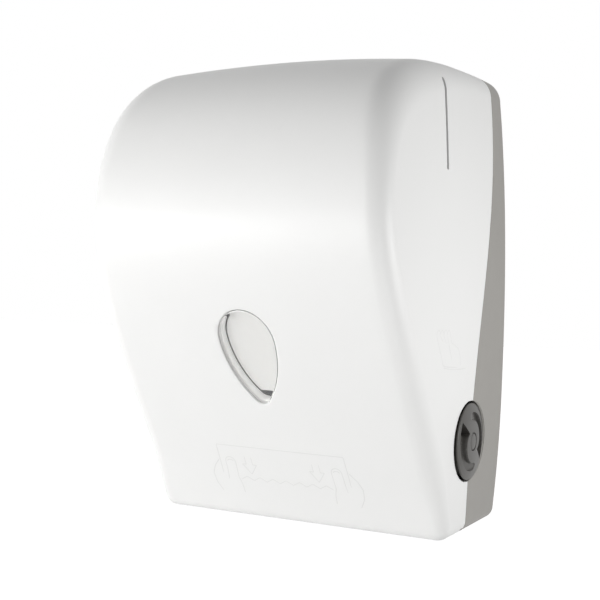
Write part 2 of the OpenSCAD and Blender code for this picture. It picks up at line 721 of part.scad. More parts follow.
module knob_screw() {
  head = knob_face - cap_t - 3;
  color(steel) at_base() {
    rod_x(shaft_right - 12, head + 0.1, drum_u, drum_z, knob_bolt_r);
    rod_x(head, head + 2.6, drum_u, drum_z, 4);
  }
}

// Over-centre spring on the left: a crank on the shaft, an extension spring and its housing.
crank_x = frame_out + bush_t + 0.6;
crank_t = 3;
crank_r = 15;
crank_throw = 12;
crank_pin_r = 1.8;
wire_r = 0.6;
coil_r = 3.2;
eye_r = 2.8;
coil_turns = 11;
coil_pitch = 2.1;
spring_x = crank_x + crank_t + 4;
housing_in = spring_x + coil_r + wire_r + 1.2;
housing_t = 1.4;
housing_tabs = [[drum_u - 16, 118], [drum_u + 16, 118]];
module crank_disc() {
  color(steel) at_base() difference() {
    rod_x(-crank_x - crank_t, -crank_x, drum_u, drum_z, crank_r);
    rod_x(-crank_x - crank_t - 1, -crank_x + 1, drum_u, drum_z, shaft_r);
    rod_x(-crank_x - crank_t - 1, -crank_x + 1, drum_u, drum_z + crank_throw, crank_pin_r);
  }
}
module crank_pin() {
  color(steel) at_base() rod_x(-housing_in + 0.6, -crank_x, drum_u, drum_z + crank_throw, crank_pin_r);
}
module spring_anchor() {
  color(steel) at_base() rod_x(-housing_in, -frame_x, anchor[0], anchor[1], anchor_r);
}
spring_low = drum_z + crank_throw;
coil_low = spring_low + eye_r + 5;
coil_high = coil_low + coil_turns * coil_pitch;
// points [x, y, z] of the wire: an eye, a straight, the turns, a straight and an eye
spring_wire = concat(
  [for (i = [0:9]) let (a = 60 - 33 * i) [0, -eye_r * cos(a), spring_low + eye_r * sin(a)]],
  [for (i = [1:3]) [coil_r * i / 3, 0, spring_low + eye_r + 1.5 * i]],
  [for (i = [1:coil_turns * 8]) let (a = 45 * i)
    [coil_r * cos(a), coil_r * sin(a), coil_low + coil_pitch * i / 8]],
  [for (i = [2:-1:0]) [coil_r * i / 3, 0, anchor[1] - eye_r - 1.5 * i - 2]],
  [for (i = [0:9]) let (a = -90 + 33 * i) [0, eye_r * cos(a), anchor[1] + eye_r * sin(a)]]);
module drive_spring() {
  echo("drive spring least gap", self_gap(spring_wire, wire_r, 7));
  color(steel) at_base() translate([-spring_x, -drum_u, 0]) tube(spring_wire, wire_r);
}
module housing_outline(o) {
  spot(drum_u, drum_z, crank_r + 3 + o);
  translate([-drum_u - 8 - o, drum_z]) square([16 + 2 * o, anchor[1] + 6 + o - drum_z]);
}
module spring_housing() {
  color(white) at_base() mirror([1, 0, 0]) difference() {
    union() {
      sheet_x(frame_out, housing_in + housing_t) housing_outline(housing_t);
      sheet_x(frame_out, frame_out + 2) {
        bar(housing_tabs[0], housing_tabs[1], 8);
        for (p = housing_tabs) spot(p[0], p[1], 5);
      }
    }
    sheet_x(frame_out - 1, housing_in) housing_outline(0);
    for (p = housing_tabs) rod_x(frame_out - 1, frame_out + 3, p[0], p[1], tap_r + 0.2);
  }
}
module housing_screws() {
  color(steel) at_base() mirror([1, 0, 0]) for (p = housing_tabs) {
    rod_x(frame_x + 0.5, frame_out + 2, p[0], p[1], tap_r);
    rod_x(frame_out + 2, frame_out + 3.6, p[0], p[1], 3);
  }
}

// Pinch yoke: two arms on pivots behind the drum, a shaft, a tie bar and a roller pressed on the drum.
pinch_a = 115;
pinch_c = drum_pt(drum_r + band_t + pinch_r + slip, pinch_a);
pinch_rod_r = 3;
yoke_x = frame_x - 5;
yoke_t = 3;
yoke_boss = 9;
coil_at = 5.2;
pinch_wire = 0.6;
leg_swing = coil_at * sin(pinch_lift);
pinch_coil = torsion_path(coil_at, 3, 1.8, 1.5, 1.5);
pivot_head = yoke_x - slip - 3 * 1.8 - 1.2;
module pinch_arm() {
  difference() {
    sheet_x(yoke_x, yoke_x + yoke_t) {
      spot(pivot[0], pivot[1], yoke_boss);
      bar(pivot, pinch_c, 9);
      spot(pinch_c[0], pinch_c[1], 6);
    }
    rod_x(yoke_x - 1, yoke_x + yoke_t + 1, pivot[0], pivot[1], pivot_r + run_fit);
    rod_x(yoke_x - 1, yoke_x + yoke_t + 1, pinch_c[0], pinch_c[1], pinch_rod_r);
    rod_x(yoke_x - 1, yoke_x + yoke_t + 1, pivot[0] - coil_at, pivot[1] + leg_swing / 2,
      leg_swing / 2 + pinch_wire + 0.9);
  }
}
module pinch_arm_right() { color(grey) at_base() pinch_arm(); }
module pinch_arm_left() { color(grey) at_base() mirror([1, 0, 0]) pinch_arm(); }
module pinch_shaft() {
  color(steel) at_base() rod_x(-yoke_x - yoke_t, yoke_x + yoke_t, pinch_c[0], pinch_c[1], pinch_rod_r);
}
module pinch_bar() {
  m = (pivot + pinch_c) / 2;
  color(grey) at_base() box(-yoke_x, yoke_x, m[0] - 4, m[0], m[1] - 1, m[1] + 3);
}
module pinch_pivots() {
  color(steel) at_base() both_sides() difference() {
    union() {
      rod_x(pivot_head, frame_out, pivot[0], pivot[1], pivot_r);
      rod_x(pivot_head - 2, pivot_head, pivot[0], pivot[1], coil_at + 1.5);
    }
    rod_x(pivot_head - 3, pivot_head + 1, pivot[0] - coil_at, pivot[1], pinch_wire + 0.1);
  }
}
module pinch_springs() {
  echo("pinch spring least gap", self_gap(pinch_coil, pinch_wire, 5));
  color(steel) at_base() both_sides() translate([pivot_head + 0.75, -pivot[0], pivot[1]])
    rotate([90, 0, 90]) tube(pinch_coil, pinch_wire);
}
module pinch_roller() {
  color(grey) at_base() difference() {
    union() {
      rod_x(-drum_half + 3, drum_half - 3, pinch_c[0], pinch_c[1], pinch_r - 2);
      rod_x(-yoke_x + slip, yoke_x - slip, pinch_c[0], pinch_c[1], pinch_rod_r + 2);
    }
    rod_x(-yoke_x, yoke_x, pinch_c[0], pinch_c[1], pinch_rod_r + run_fit);
  }
}
module pinch_tyres() {
  color(black) at_base() for (x = band_xs) difference() {
    rod_x(x - band_w / 2, x + band_w / 2, pinch_c[0], pinch_c[1], pinch_r);
    rod_x(x - band_w, x + band_w, pinch_c[0], pinch_c[1], pinch_r - 2);
  }
}

// Roll holder: two sprung arms on upright pins, with a turning core hub on each.
arm_u = 22;
arm_pin_r = 3;
knuckle_r = 7.5;
knuckle_low = roll_z - 14;
knuckle_high = roll_z + 10;
lug_t = 4;
lug_low = knuckle_low - slip - lug_t;
lug_high = knuckle_high + 8;
arm_coil_r = 4.8;
arm_wire = 0.6;
arm_coil = torsion_path(arm_coil_r, 3, 1.8, 1.5, 1.5);
arm_in = arm_x - 4;
arm_t = 4;
module arm_brackets() {
  color(grey) at_base() both_sides() difference() {
    union() {
      box(arm_x - 9, arm_x + 9, seat_u, seat_u + seat_t, roll_z - bracket_dz - 6, roll_z + bracket_dz + 6);
      for (z = [lug_low, lug_high]) {
        box(arm_x - 7, arm_x + 7, seat_u + seat_t - 0.5, arm_u, z, z + lug_t);
        translate([arm_x, -arm_u, z]) cylinder(h = lug_t, r = 7);
      }
    }
    translate([arm_x, -arm_u, lug_low - 1]) cylinder(h = lug_high - lug_low + 2 * lug_t, r = arm_pin_r);
    translate([arm_x + arm_coil_r, -arm_u, lug_high - 1]) cylinder(h = 4, r = arm_wire + 0.1);
    for (d = [-bracket_dz, bracket_dz])
      rod_y(arm_x, roll_z + d, seat_u - 1, seat_u + seat_t + 1, tap_r + 0.4);
  }
}
module arm_pins() {
  color(steel) at_base() both_sides()
    translate([arm_x, -arm_u, lug_low]) cylinder(h = lug_high + lug_t - lug_low, r = arm_pin_r);
}
module arm_springs() {
  echo("arm spring least gap", self_gap(arm_coil, arm_wire, 5));
  color(steel) at_base() both_sides() translate([arm_x, -arm_u, knuckle_high + 1.3]) tube(arm_coil, arm_wire);
}
axle_r = 4;
module roll_arm() {
  difference() {
    union() {
      translate([arm_x, -arm_u, knuckle_low]) cylinder(h = knuckle_high - knuckle_low, r = knuckle_r);
      sheet_x(arm_in, arm_in + arm_t) {
        translate([-roll_u, knuckle_low]) square([roll_u - arm_u, knuckle_high - knuckle_low]);
        spot(roll_u, roll_z, 16);
      }
    }
    translate([arm_x, -arm_u, knuckle_low - 1])
      cylinder(h = knuckle_high - knuckle_low + 2, r = arm_pin_r + run_fit);
    translate([arm_x + arm_coil_r, -arm_u, knuckle_high - 3]) cylinder(h = 4, r = 1.3);
    rod_x(arm_in - 1, arm_in + arm_t + 1, roll_u, roll_z, axle_r);
  }
}
module roll_arm_right() { color(white) at_base() roll_arm(); }
module roll_arm_left() { color(white) at_base() mirror([1, 0, 0]) roll_arm(); }
hub_face = roll_w / 2 + 0.5;
plug_in = 9.5;
hub_flange_t = 2.5;
hub_pocket = hub_face - 2;
module hub_axle() {
  rod_x(hub_pocket - 2 - slip, hub_pocket - slip, roll_u, roll_z, axle_r + 2);
  rod_x(hub_pocket - slip, arm_in + arm_t, roll_u, roll_z, axle_r);
  rod_x(arm_in + arm_t, arm_in + arm_t + 3, roll_u, roll_z, axle_r + 3);
}
module hub_axle_right() { color(steel) at_base() hub_axle(); }
module hub_axle_left() { color(steel) at_base() mirror([1, 0, 0]) hub_axle(); }
module core_hub() {
  difference() {
    union() {
      rod_x(hub_face - plug_in, hub_face, roll_u, roll_z, plug_core_r);
      rod_x(hub_face, hub_face + hub_flange_t, roll_u, roll_z, plug_core_r + 8);
      rod_x(hub_face, arm_in - slip, roll_u, roll_z, axle_r + 4);
    }
    rod_x(hub_face - plug_in - 1, arm_in + 1, roll_u, roll_z, axle_r + run_fit);
    rod_x(hub_face - plug_in - 1, hub_pocket, roll_u, roll_z, axle_r + 4);
    difference() {
      rod_x(hub_face - plug_in - 1, hub_pocket, roll_u, roll_z, plug_core_r - 2);
      rod_x(hub_face - plug_in - 2, hub_pocket + 1, roll_u, roll_z, axle_r + 6);
    }
  }
}
module hub_right() { color(white) at_base() core_hub(); }
module hub_left() { color(white) at_base() mirror([1, 0, 0]) core_hub(); }

// Cover: the skin with its window, slots, knob notch, paper exit, hinge barrels and lock hole.
knuckle_x = ear_x + ear_w + slip;
knuckle_w = 8.5;
exit_x = frame_x - 4;
exit_in = 8;
exit_u = base_d - exit_in;
housing_r = plug_r + 3;
module teardrop(o) {
  c = win_side - win_r;
  t = sqrt(pow(win_side - win_tip, 2) - c * c);
  low = win_z - t * win_side / (win_side - win_tip);
  translate([0, win_z]) circle(r = win_r + o, $fn = 96);
  intersection() {
    translate([-c, win_z]) circle(r = win_side + o, $fn = 96);
    translate([c, win_z]) circle(r = win_side + o, $fn = 96);
    translate([-win_r - o, low - o * 0.7]) square([2 * (win_r + o), win_z - low + o * 0.7]);
  }
  translate([0, win_z - t]) circle(r = win_tip + o);
}
module front_cover() {
  color(white) at_base() difference() {
    union() {
      difference() {
        cover_skin();
        box(-knuckle_x, knuckle_x, 0, hinge_u + barrel_r + 1.5, -1, hinge_z + barrel_r + 1);
        difference() {
          box(-case_w, case_w, 0, hinge_u, -1, hinge_z);
          rod_x(-case_w - 1, case_w + 1, hinge_u, hinge_z, barrel_r);
        }
      }
      both_sides() {
        rod_x(knuckle_x, knuckle_x + knuckle_w, hinge_u, hinge_z, barrel_r);
        box(knuckle_x, knuckle_x + knuckle_w, hinge_u, hinge_u + barrel_r + 6, wall - 2, hinge_z);
      }
    }
    both_sides() rod_x(knuckle_x - 1, knuckle_x + knuckle_w, hinge_u, hinge_z, pin_r + run_fit);
    box(-exit_x, exit_x, 0, exit_u, -1, wall + 6);
    sheet_y(base_d, case_d) teardrop(0);
    both_sides() {
      box(case_w / 4, case_w, slot_u - slot_w / 2, slot_u + slot_w / 2,
        slot_z - slot_h / 2, slot_z + slot_h / 2);
      for (s = [-1, 1]) rod_x(case_w / 4, case_w, slot_u, slot_z + s * slot_h / 2, slot_w / 2);
    }
    rod_x(frame_out + 8, case_w, drum_u, drum_z, knob_hole);
    translate([0, -lock_u, hook_z]) cylinder(h = 60, r = housing_r + slip / 2);
  }
}

// a strip of the sloping front between two depths inside the skin, as a [-u, z] outline
function front_line(o) =
  [for (i = [arc_n + 1:arc_n + front_n]) let (p = profile[i] - out_at(i) * o) [-p[0], p[1]]];
module front_strip(a, b) {
  near = front_line(a);
  far = front_line(b);
  polygon(concat(near, [for (i = [len(far) - 1:-1:0]) far[i]]));
}
module window_piece(a, b, o) {
  intersection() {
    sheet_x(-case_w / 4, case_w / 4) front_strip(a, b);
    sheet_y(base_d, case_d) teardrop(o);
  }
}
lens_in = 0.8;
lens_t = 2;
tray_h = 8;
module window_lens() {
  color(clear) at_base() {
    window_piece(lens_in, wall + lens_t, -0.1);
    window_piece(wall, wall + lens_t, 3);
  }
}
module window_tray() {
  color(white) at_base() difference() {
    window_piece(wall + lens_t, wall + lens_t + tray_h, 3);
    window_piece(wall + lens_t - 1, wall + lens_t + tray_h - 1.5, 1.2);
  }
}

// Lock on the top: a plug in a nutted housing turns a hook behind the keeper's post.
post_u = lock_u - 9;
post_r = 2;
hook_in = 12;
hook_out = 16;
hook_t = 3;
// the nut stays under the lowest part of the roof that it spans
nut_top = top_z(lock_u + housing_r + 4) - wall - 2 * slip;
module lock_housing() {
  color(steel) at_base() translate([0, -lock_u, 0]) difference() {
    translate([0, 0, hook_z + hook_t + slip])
      cylinder(h = lock_top - 0.3 - hook_z - hook_t - slip, r = housing_r);
    translate([0, 0, hook_z]) cylinder(h = 60, r = plug_r + run_fit);
  }
}
module lock_nut() {
  color(steel) at_base() translate([0, -lock_u, nut_top - 5]) difference() {
    cylinder(h = 5, r = housing_r + 4);
    translate([0, 0, -1]) cylinder(h = 7, r = housing_r);
  }
}
module lock_plug() {
  color(steel) at_base() translate([0, -lock_u, 0]) difference() {
    translate([0, 0, hook_z + hook_t]) cylinder(h = lock_top - 0.6 - hook_z - hook_t, r = plug_r);
    translate([-0.6, -3, lock_top - 9]) cube([1.2, 6, 20]);
    translate([0, 0, hook_z]) cylinder(h = 12, r = tap_r);
  }
}
module lock_hook() {
  color(steel) at_base() translate([0, -lock_u, hook_z]) difference() {
    linear_extrude(height = hook_t) {
      circle(r = plug_r + 0.5);
      rotate(-38) translate([0, -2]) square([hook_out - 1, 4]);
      rotate(180) arc_strip(hook_in, hook_out, -38, 38);
    }
    translate([0, 0, -1]) cylinder(h = hook_t + 2, r = tap_r);
  }
}
module lock_screw() {
  color(steel) at_base() translate([0, -lock_u, 0]) {
    translate([0, 0, hook_z - 2]) cylinder(h = 2, r = 3.5);
    translate([0, 0, hook_z - 0.1]) cylinder(h = 8, r = tap_r);
  }
}
module lock_keeper() {
  color(steel) at_base() difference() {
    union() {
      box(-keeper_dx - 5, keeper_dx + 5, seat_u, seat_u + seat_t, keeper_z - 12, keeper_z + 3);
      box(-5, 5, seat_u + seat_t - 0.5, post_u + post_r + 1, keeper_z, keeper_z + 3);
      translate([0, -post_u, keeper_z + 1]) cylinder(h = hook_z + hook_t - keeper_z - 1.2, r = post_r);
    }
    for (s = [-1, 1]) rod_y(s * keeper_dx, keeper_z - 6, seat_u - 1, seat_u + seat_t + 1, tap_r + 0.4);
  }
}

back_plate();
hinge_pins();
side_frame_left();
side_frame_right();
tie_rods();
frame_screws();
front_guide();
rear_guide();
drum_bush_left();
drum_bush_right();
cam_plate();
spring_anchor();
spring_housing();
housing_screws();
drive_spring();
lock_keeper();
arm_brackets();
arm_pins();
arm_springs();
pinch_pivots();
pinch_springs();
front_cover();
window_lens();
window_tray();
lock_housing();
lock_nut();
lock_plug();
lock_hook();
lock_screw();
drum_shaft();
drum_shell();
drum_end_left();
drum_end_right();
grip_bands();
feed_knob();
knob_cap();
knob_screw();
crank_disc();
crank_pin();
knife_spring();
knife_shaft();
knife_carrier();
knife_blade();
blade_screws();
follower_lever();
cam_follower();
pinch_arm_left();
pinch_arm_right();
pinch_shaft();
pinch_bar();
pinch_roller();
pinch_tyres();
roll_arm_left();
roll_arm_right();
hub_axle_left();
hub_axle_right();
hub_left();
hub_right();
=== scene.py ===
# %% [markdown]
# An autocut towel dispenser hangs on a washroom wall. Its white cover, grey wall plate and knob are
# moulded plastic, and a feed drum, a knife and two roll arms sit inside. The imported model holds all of
# these as solids that already stand in their places. This lesson dresses them: the large moulded skins
# are worked out again as smooth numpy surfaces, and the small mechanical pieces keep their solids and
# get fine edges and real finishes.

# %% Load the frame and keep its box
import json
import math

import bpy
import numpy as np
from mathutils import Matrix, Vector

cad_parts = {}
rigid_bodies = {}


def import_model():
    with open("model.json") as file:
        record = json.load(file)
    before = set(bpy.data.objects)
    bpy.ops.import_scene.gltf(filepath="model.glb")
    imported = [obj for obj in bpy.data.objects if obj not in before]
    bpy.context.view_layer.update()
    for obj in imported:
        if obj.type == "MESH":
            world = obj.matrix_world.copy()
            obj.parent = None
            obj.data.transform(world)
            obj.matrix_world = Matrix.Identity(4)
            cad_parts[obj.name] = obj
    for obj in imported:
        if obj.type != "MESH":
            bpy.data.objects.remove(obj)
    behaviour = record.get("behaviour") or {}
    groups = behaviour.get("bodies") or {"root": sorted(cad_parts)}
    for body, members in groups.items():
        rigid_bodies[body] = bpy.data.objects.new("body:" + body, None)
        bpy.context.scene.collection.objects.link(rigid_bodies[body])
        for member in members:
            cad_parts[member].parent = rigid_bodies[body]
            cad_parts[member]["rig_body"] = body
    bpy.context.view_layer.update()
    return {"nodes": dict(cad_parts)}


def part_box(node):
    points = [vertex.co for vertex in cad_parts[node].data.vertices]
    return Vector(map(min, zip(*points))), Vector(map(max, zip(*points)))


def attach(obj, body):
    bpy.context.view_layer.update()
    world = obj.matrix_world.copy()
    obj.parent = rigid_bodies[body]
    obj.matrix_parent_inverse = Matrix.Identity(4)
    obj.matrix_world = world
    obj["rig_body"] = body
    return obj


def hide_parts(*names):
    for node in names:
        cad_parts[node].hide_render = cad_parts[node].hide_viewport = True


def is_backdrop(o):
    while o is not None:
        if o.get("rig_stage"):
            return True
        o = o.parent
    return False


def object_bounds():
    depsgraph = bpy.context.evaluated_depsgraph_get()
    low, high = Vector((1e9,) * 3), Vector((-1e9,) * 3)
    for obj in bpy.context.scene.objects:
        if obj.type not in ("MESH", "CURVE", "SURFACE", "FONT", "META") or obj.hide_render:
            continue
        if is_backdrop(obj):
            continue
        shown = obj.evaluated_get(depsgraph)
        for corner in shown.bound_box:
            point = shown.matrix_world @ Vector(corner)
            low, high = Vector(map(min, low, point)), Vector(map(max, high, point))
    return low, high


for leftover in list(bpy.data.objects):
    bpy.data.objects.remove(leftover)
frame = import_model()
nodes = frame["nodes"]

# %% [markdown]
# The casing is drawn in three numbers: x across, u out from the wall, and z up from the base, all in
# millimetres, as a mould maker would measure it. One helper turns those into the shared frame's metres,
# so every formula below can stay in workshop units.

# %% Units and the shared frame
CASE_H, CASE_W, CASE_D, BASE_D, NOSE_Z = 380.0, 275.0, 225.0, 104.0, 249.0
WALL, EDGE_R, TOP_R, BASE_R, CROWN = 3.0, 11.0, 30.0, 12.0, 7.0
SEAM_TOP, SEAM_BASE, SEAM_GAP = 24.5, 65.5, 0.6
SEAM_FROM, SEAM_RUN = 315.0, 255.0
WIDE_Z, NARROW_TOP, NARROW_BASE = 180.0, 6.5, 4.5
DRAFT_BASE, DRAFT_MORE = 0.03, 0.04
REAR_FROM, REAR_TIGHT = 160.0, 9.0
FRONT_R, FULL_OVER = 16.5, 45.0
PLATE_FLARE, FLARE_Z, FLARE_UP, FLARE_DOWN = 4.1, 105.0, 235.0, 120.0
MID_Z = 175.0
DRUM_U, DRUM_Z = 67.5, 74.5


def placed(x, u, z):
    """Across, out from the wall and up from the base in mm, as points of the shared frame in m."""
    x, u, z = np.broadcast_arrays(x, u, z)
    return np.stack([x, -u, z - MID_Z], -1) / 1000


def ease(t):
    """The smooth step 3t^2 - 2t^3, held at 0 and 1 outside the step."""
    t = np.clip(t, 0, 1)
    return t * t * (3 - 2 * t)


def half_w(z):
    """Rear half width: widest at one height and narrowing with the square of the distance from it."""
    d = z - WIDE_Z
    above = NARROW_TOP * (d / (CASE_H - WIDE_Z)) ** 2
    below = NARROW_BASE * (d / WIDE_Z) ** 2
    return CASE_W / 2 - np.where(d > 0, above, below)


def side_x(u, z):
    """The side wall: the rear half width less a draft that grows with the height."""
    return half_w(z) - (DRAFT_BASE + DRAFT_MORE * z / CASE_H) * u


def seam_u(z):
    """Depth of the joint between plate and cover: shallow at the top, easing to deep at the base."""
    return SEAM_TOP + (SEAM_BASE - SEAM_TOP) * ease((SEAM_FROM - z) / SEAM_RUN)


def plate_x(u, z):
    """The wall plate's side: from the joint it flares to the wall, most at one height, as a parabola."""
    d = z - FLARE_Z
    flare = PLATE_FLARE * np.clip(1 - (d / np.where(d > 0, FLARE_UP, FLARE_DOWN)) ** 2, 0, 1)
    return side_x(seam_u(z), z) + flare * (1 - u / seam_u(z))


def over_nose(z):
    """A smooth step from 0 at the nose to 1 at the roof."""
    return ease((z - NOSE_Z) / (CASE_H - NOSE_Z))


def rear(u):
    """A smooth step from 0 over the front of the roof to 1 at the seam."""
    return ease((REAR_FROM - u) / (REAR_FROM - SEAM_TOP))


def round_r(u, z):
    """Rounding of the long edges: tight at the base, full up the front and nose, less to the wall."""
    front = EDGE_R + (FRONT_R - EDGE_R) * ease((z - BASE_R) / FULL_OVER)
    return front + over_nose(z) * (TOP_R - front - REAR_TIGHT * rear(u))


def crown_drop(x, u, z):
    """The roof falls to the sides with the square of x, twice as deep at the wall and not below the nose."""
    return CROWN * (1 + rear(u)) * (x / (CASE_W / 2)) ** 2 * over_nose(z)


print("casing:", CASE_W, "x", CASE_D, "x", CASE_H, "mm")

# %% [markdown]
# The photograph was taken a little to the right of the front and almost level, from under a metre away.
# The camera stands there with the same slight tilt of the horizon. A small shift of the frame does what
# cropping the picture did, so nothing has to be turned to fit.

# %% Camera
AIM, DISTANCE = Vector((0, -0.1, 0.015)), 0.894714
PICTURE_PX, FOCAL_PX, SENSOR = 600, 1093.8, 36
SHIFT_X_PX, SHIFT_Y_PX = -3.638, -9.5
az, el, roll = (math.radians(a) for a in (27.271, 0.951, 1.332))
back = Vector((math.sin(az) * math.cos(el), -math.cos(az) * math.cos(el), math.sin(el)))
level = back.cross(Vector((0, 0, -1))).normalized()
rise = back.cross(level)
right = level * math.cos(roll) + rise * math.sin(roll)
up = rise * math.cos(roll) - level * math.sin(roll)
cam = bpy.data.objects.new("camera", bpy.data.cameras.new("camera"))
bpy.context.scene.collection.objects.link(cam)
spot = AIM + back * DISTANCE
cam.matrix_world = Matrix((
    (right.x, up.x, back.x, spot.x),
    (right.y, up.y, back.y, spot.y),
    (right.z, up.z, back.z, spot.z),
    (0, 0, 0, 1),
))
cam.data.sensor_width = SENSOR
cam.data.lens = SENSOR * FOCAL_PX / PICTURE_PX
cam.data.shift_x = SHIFT_X_PX / PICTURE_PX
cam.data.shift_y = SHIFT_Y_PX / PICTURE_PX
cam.data.clip_start = 0.01
bpy.context.scene.camera = cam
print("camera at", [round(c, 3) for c in spot], "lens", round(cam.data.lens, 1))

# %% [markdown]
# Every new piece is a grid of points and the faces between them. These helpers turn arrays into a mesh,
# close a grid into a shell or a capped loft, and turn the faces outwards by the sign of the volume they
# enclose. Openings are cut once with a solid cutter, and the result is kept as plain mesh.

# %% Helpers that make meshes


def grid_quads(rows, cols, closed=False):
    """Quads between neighbours in a rows by cols grid; closed joins the last column to the first."""
    i = np.arange(rows * cols).reshape(rows, cols)
    if closed:
        i = np.concatenate([i, i[:, :1]], 1)
    return np.stack([i[:-1, :-1], i[1:, :-1], i[1:, 1:], i[:-1, 1:]], -1).reshape(-1, 4)


def outward(points, faces):
    """Faces turned so that the volume enclosed, a sum of signed tetrahedra, is positive."""
    volume = 0.0
    for f in faces:
        a = points[f[:, 0]]
        for k in range(1, f.shape[1] - 1):
            volume += np.einsum("ij,ij->", a, np.cross(points[f[:, k]], points[f[:, k + 1]]))
    return faces if volume > 0 else [f[:, ::-1] for f in faces]


def capped_loft(rings):
    """A closed skin through a stack of closed rings (rings, points, xyz), with a fan at each end."""
    k, n = rings.shape[:2]
    points = np.concatenate([rings.reshape(-1, 3), rings[:1].mean(1), rings[-1:].mean(1)])
    i = np.arange(n)
    j = np.roll(i, -1)
    low = np.stack([np.full(n, k * n), j, i], -1)
    high = np.stack([np.full(n, k * n + 1), i + (k - 1) * n, j + (k - 1) * n], -1)
    quads = grid_quads(k, n, closed=True)[:, ::-1]
    return points, outward(points, [quads, np.concatenate([low, high])])


def joined(parts):
    """Several closed skins as one list of points and faces."""
    points, faces, start = [], [], 0
    for p, fs in parts:
        points.append(p)
        faces += [f + start for f in fs]
        start += len(p)
    return np.concatenate(points), faces


def make_piece(name, skin, material=None, sharp=35.0):
    """A mesh object at the origin from points in m and faces, smooth but for edges over an angle."""
    points, faces = skin
    mesh = bpy.data.meshes.new(name)
    mesh.from_pydata(points.tolist(), [], [f for block in faces for f in block.tolist()])
    mesh.shade_smooth()
    mesh.set_sharp_from_angle(angle=math.radians(sharp))
    piece = bpy.data.objects.new(name, mesh)
    bpy.context.scene.collection.objects.link(piece)
    if material:
        mesh.materials.append(material)
    return piece


def cut(piece, cutter_skin, sharp=35.0):
    """Takes the cutter's solids out of the piece, and keeps the result as plain mesh."""
    cutter = make_piece("cutter", cutter_skin)
    opening = piece.modifiers.new("opening", "BOOLEAN")
    opening.operation = "DIFFERENCE"
    opening.solver = "EXACT"
    opening.object = cutter
    depsgraph = bpy.context.evaluated_depsgraph_get()
    mesh = bpy.data.meshes.new_from_object(piece.evaluated_get(depsgraph))
    piece.modifiers.clear()
    piece.data = mesh
    bpy.data.objects.remove(cutter)
    mesh.shade_smooth()
    mesh.set_sharp_from_angle(angle=math.radians(sharp))
    return piece


def report(piece):
    """Says how large a piece is."""
    triangles = sum(len(p.vertices) - 2 for p in piece.data.polygons)
    print(piece.name, "has", len(piece.data.vertices), "points and", triangles, "triangles")


# %% [markdown]
# Moulded plastic isn't one flat colour. The cover has a fine spark-eroded grain, a faint cloudiness where
# the melt flowed, and a gloss that varies with the grain. The same three ideas, with other numbers, make
# the grey plate, the darker knob, the natural nylon of the bearings and the rubber bands. All of them
# read Object coordinates, so the grain stays on the piece as it moves.

# %% Finishes
CLOUD_SCALE, PATCH_SCALE, GRAIN_DEPTH = 14.0, 60.0, 0.0003


def finish(name, colour, rough, cloud=0.03, grain=1400.0, relief=0.05, metallic=0.0, streak=(1, 1, 1),
           glow=0.0):
    """A procedural finish: cloudy colour, uneven gloss and a fine raised grain, from three noises. A glow
    above 0 adds emission in the finish's own colour, a painted glow.
    """
    mat = bpy.data.materials.new(name)
    mat.use_nodes = True
    tree = mat.node_tree
    shader = tree.nodes["Principled BSDF"]
    where = tree.nodes.new("ShaderNodeTexCoord")
    turn = tree.nodes.new("ShaderNodeMapping")
    turn.inputs["Scale"].default_value = streak
    tree.links.new(where.outputs["Object"], turn.inputs["Vector"])

    def noise(scale, detail):
        """A noise of one scale and detail, on the piece's own coordinates."""
        n = tree.nodes.new("ShaderNodeTexNoise")
        n.inputs["Scale"].default_value = scale
        n.inputs["Detail"].default_value = detail
        tree.links.new(turn.outputs["Vector"], n.inputs["Vector"])
        return n

    clouds = noise(CLOUD_SCALE, 3.0)
    tint = tree.nodes.new("ShaderNodeMix")
    tint.data_type = "RGBA"
    tint.inputs["A"].default_value = tuple(c * (1 - cloud) for c in colour) + (1,)
    tint.inputs["B"].default_value = tuple(min(1, c * (1 + cloud)) for c in colour) + (1,)
    tree.links.new(clouds.outputs["Fac"], tint.inputs["Factor"])
    tree.links.new(tint.outputs["Result"], shader.inputs["Base Color"])
    patches = noise(PATCH_SCALE, 2.0)
    gloss = tree.nodes.new("ShaderNodeMapRange")
    gloss.inputs["To Min"].default_value = rough * 0.9
    gloss.inputs["To Max"].default_value = min(1, rough * 1.1)
    tree.links.new(patches.outputs["Fac"], gloss.inputs["Value"])
    tree.links.new(gloss.outputs["Result"], shader.inputs["Roughness"])
    fine = noise(grain, 1.0)
    bump = tree.nodes.new("ShaderNodeBump")
    bump.inputs["Strength"].default_value = relief
    bump.inputs["Distance"].default_value = GRAIN_DEPTH
    tree.links.new(fine.outputs["Fac"], bump.inputs["Height"])
    tree.links.new(bump.outputs["Normal"], shader.inputs["Normal"])
    shader.inputs["Metallic"].default_value = metallic
    shader.inputs["Emission Color"].default_value = colour + (1,)
    shader.inputs["Emission Strength"].default_value = glow
    return mat


WHITE = finish("cover_white", (0.86, 0.86, 0.85), 0.42, cloud=0.012, relief=0.03)
# The two sign finishes are the cover's white made greyer: painted shade for the shade thin ridges catch.
SIGN_PAINTED_SHADE = finish("sign_painted_shade", (0.77, 0.77, 0.76), 0.5, cloud=0.02, relief=0.03)
FAINT_PAINTED_SHADE = finish("side_sign_painted_shade", (0.81, 0.81, 0.80), 0.5, cloud=0.02, relief=0.03)
GREY = finish("plate_grey", (0.312, 0.300, 0.280), 0.5, cloud=0.03, relief=0.07)
DARK = finish("knob_grey", (0.052, 0.049, 0.044), 0.4, cloud=0.04, relief=0.05)
FRAME = finish("frame_grey", (0.40, 0.40, 0.39), 0.55, cloud=0.03, relief=0.07)
CHUTE = finish("chute_grey", (0.11, 0.11, 0.11), 0.5, cloud=0.04, relief=0.06)
NYLON = finish("natural_nylon", (0.70, 0.67, 0.56), 0.45, cloud=0.04, relief=0.04)
RUBBER = finish("band_rubber", (0.022, 0.022, 0.024), 0.85, cloud=0.12, grain=700.0, relief=0.25)
STEEL = finish("zinc_steel", (0.60, 0.61, 0.63), 0.3, cloud=0.05, grain=500.0, relief=0.04, metallic=1.0,
               streak=(0.2, 1, 1))
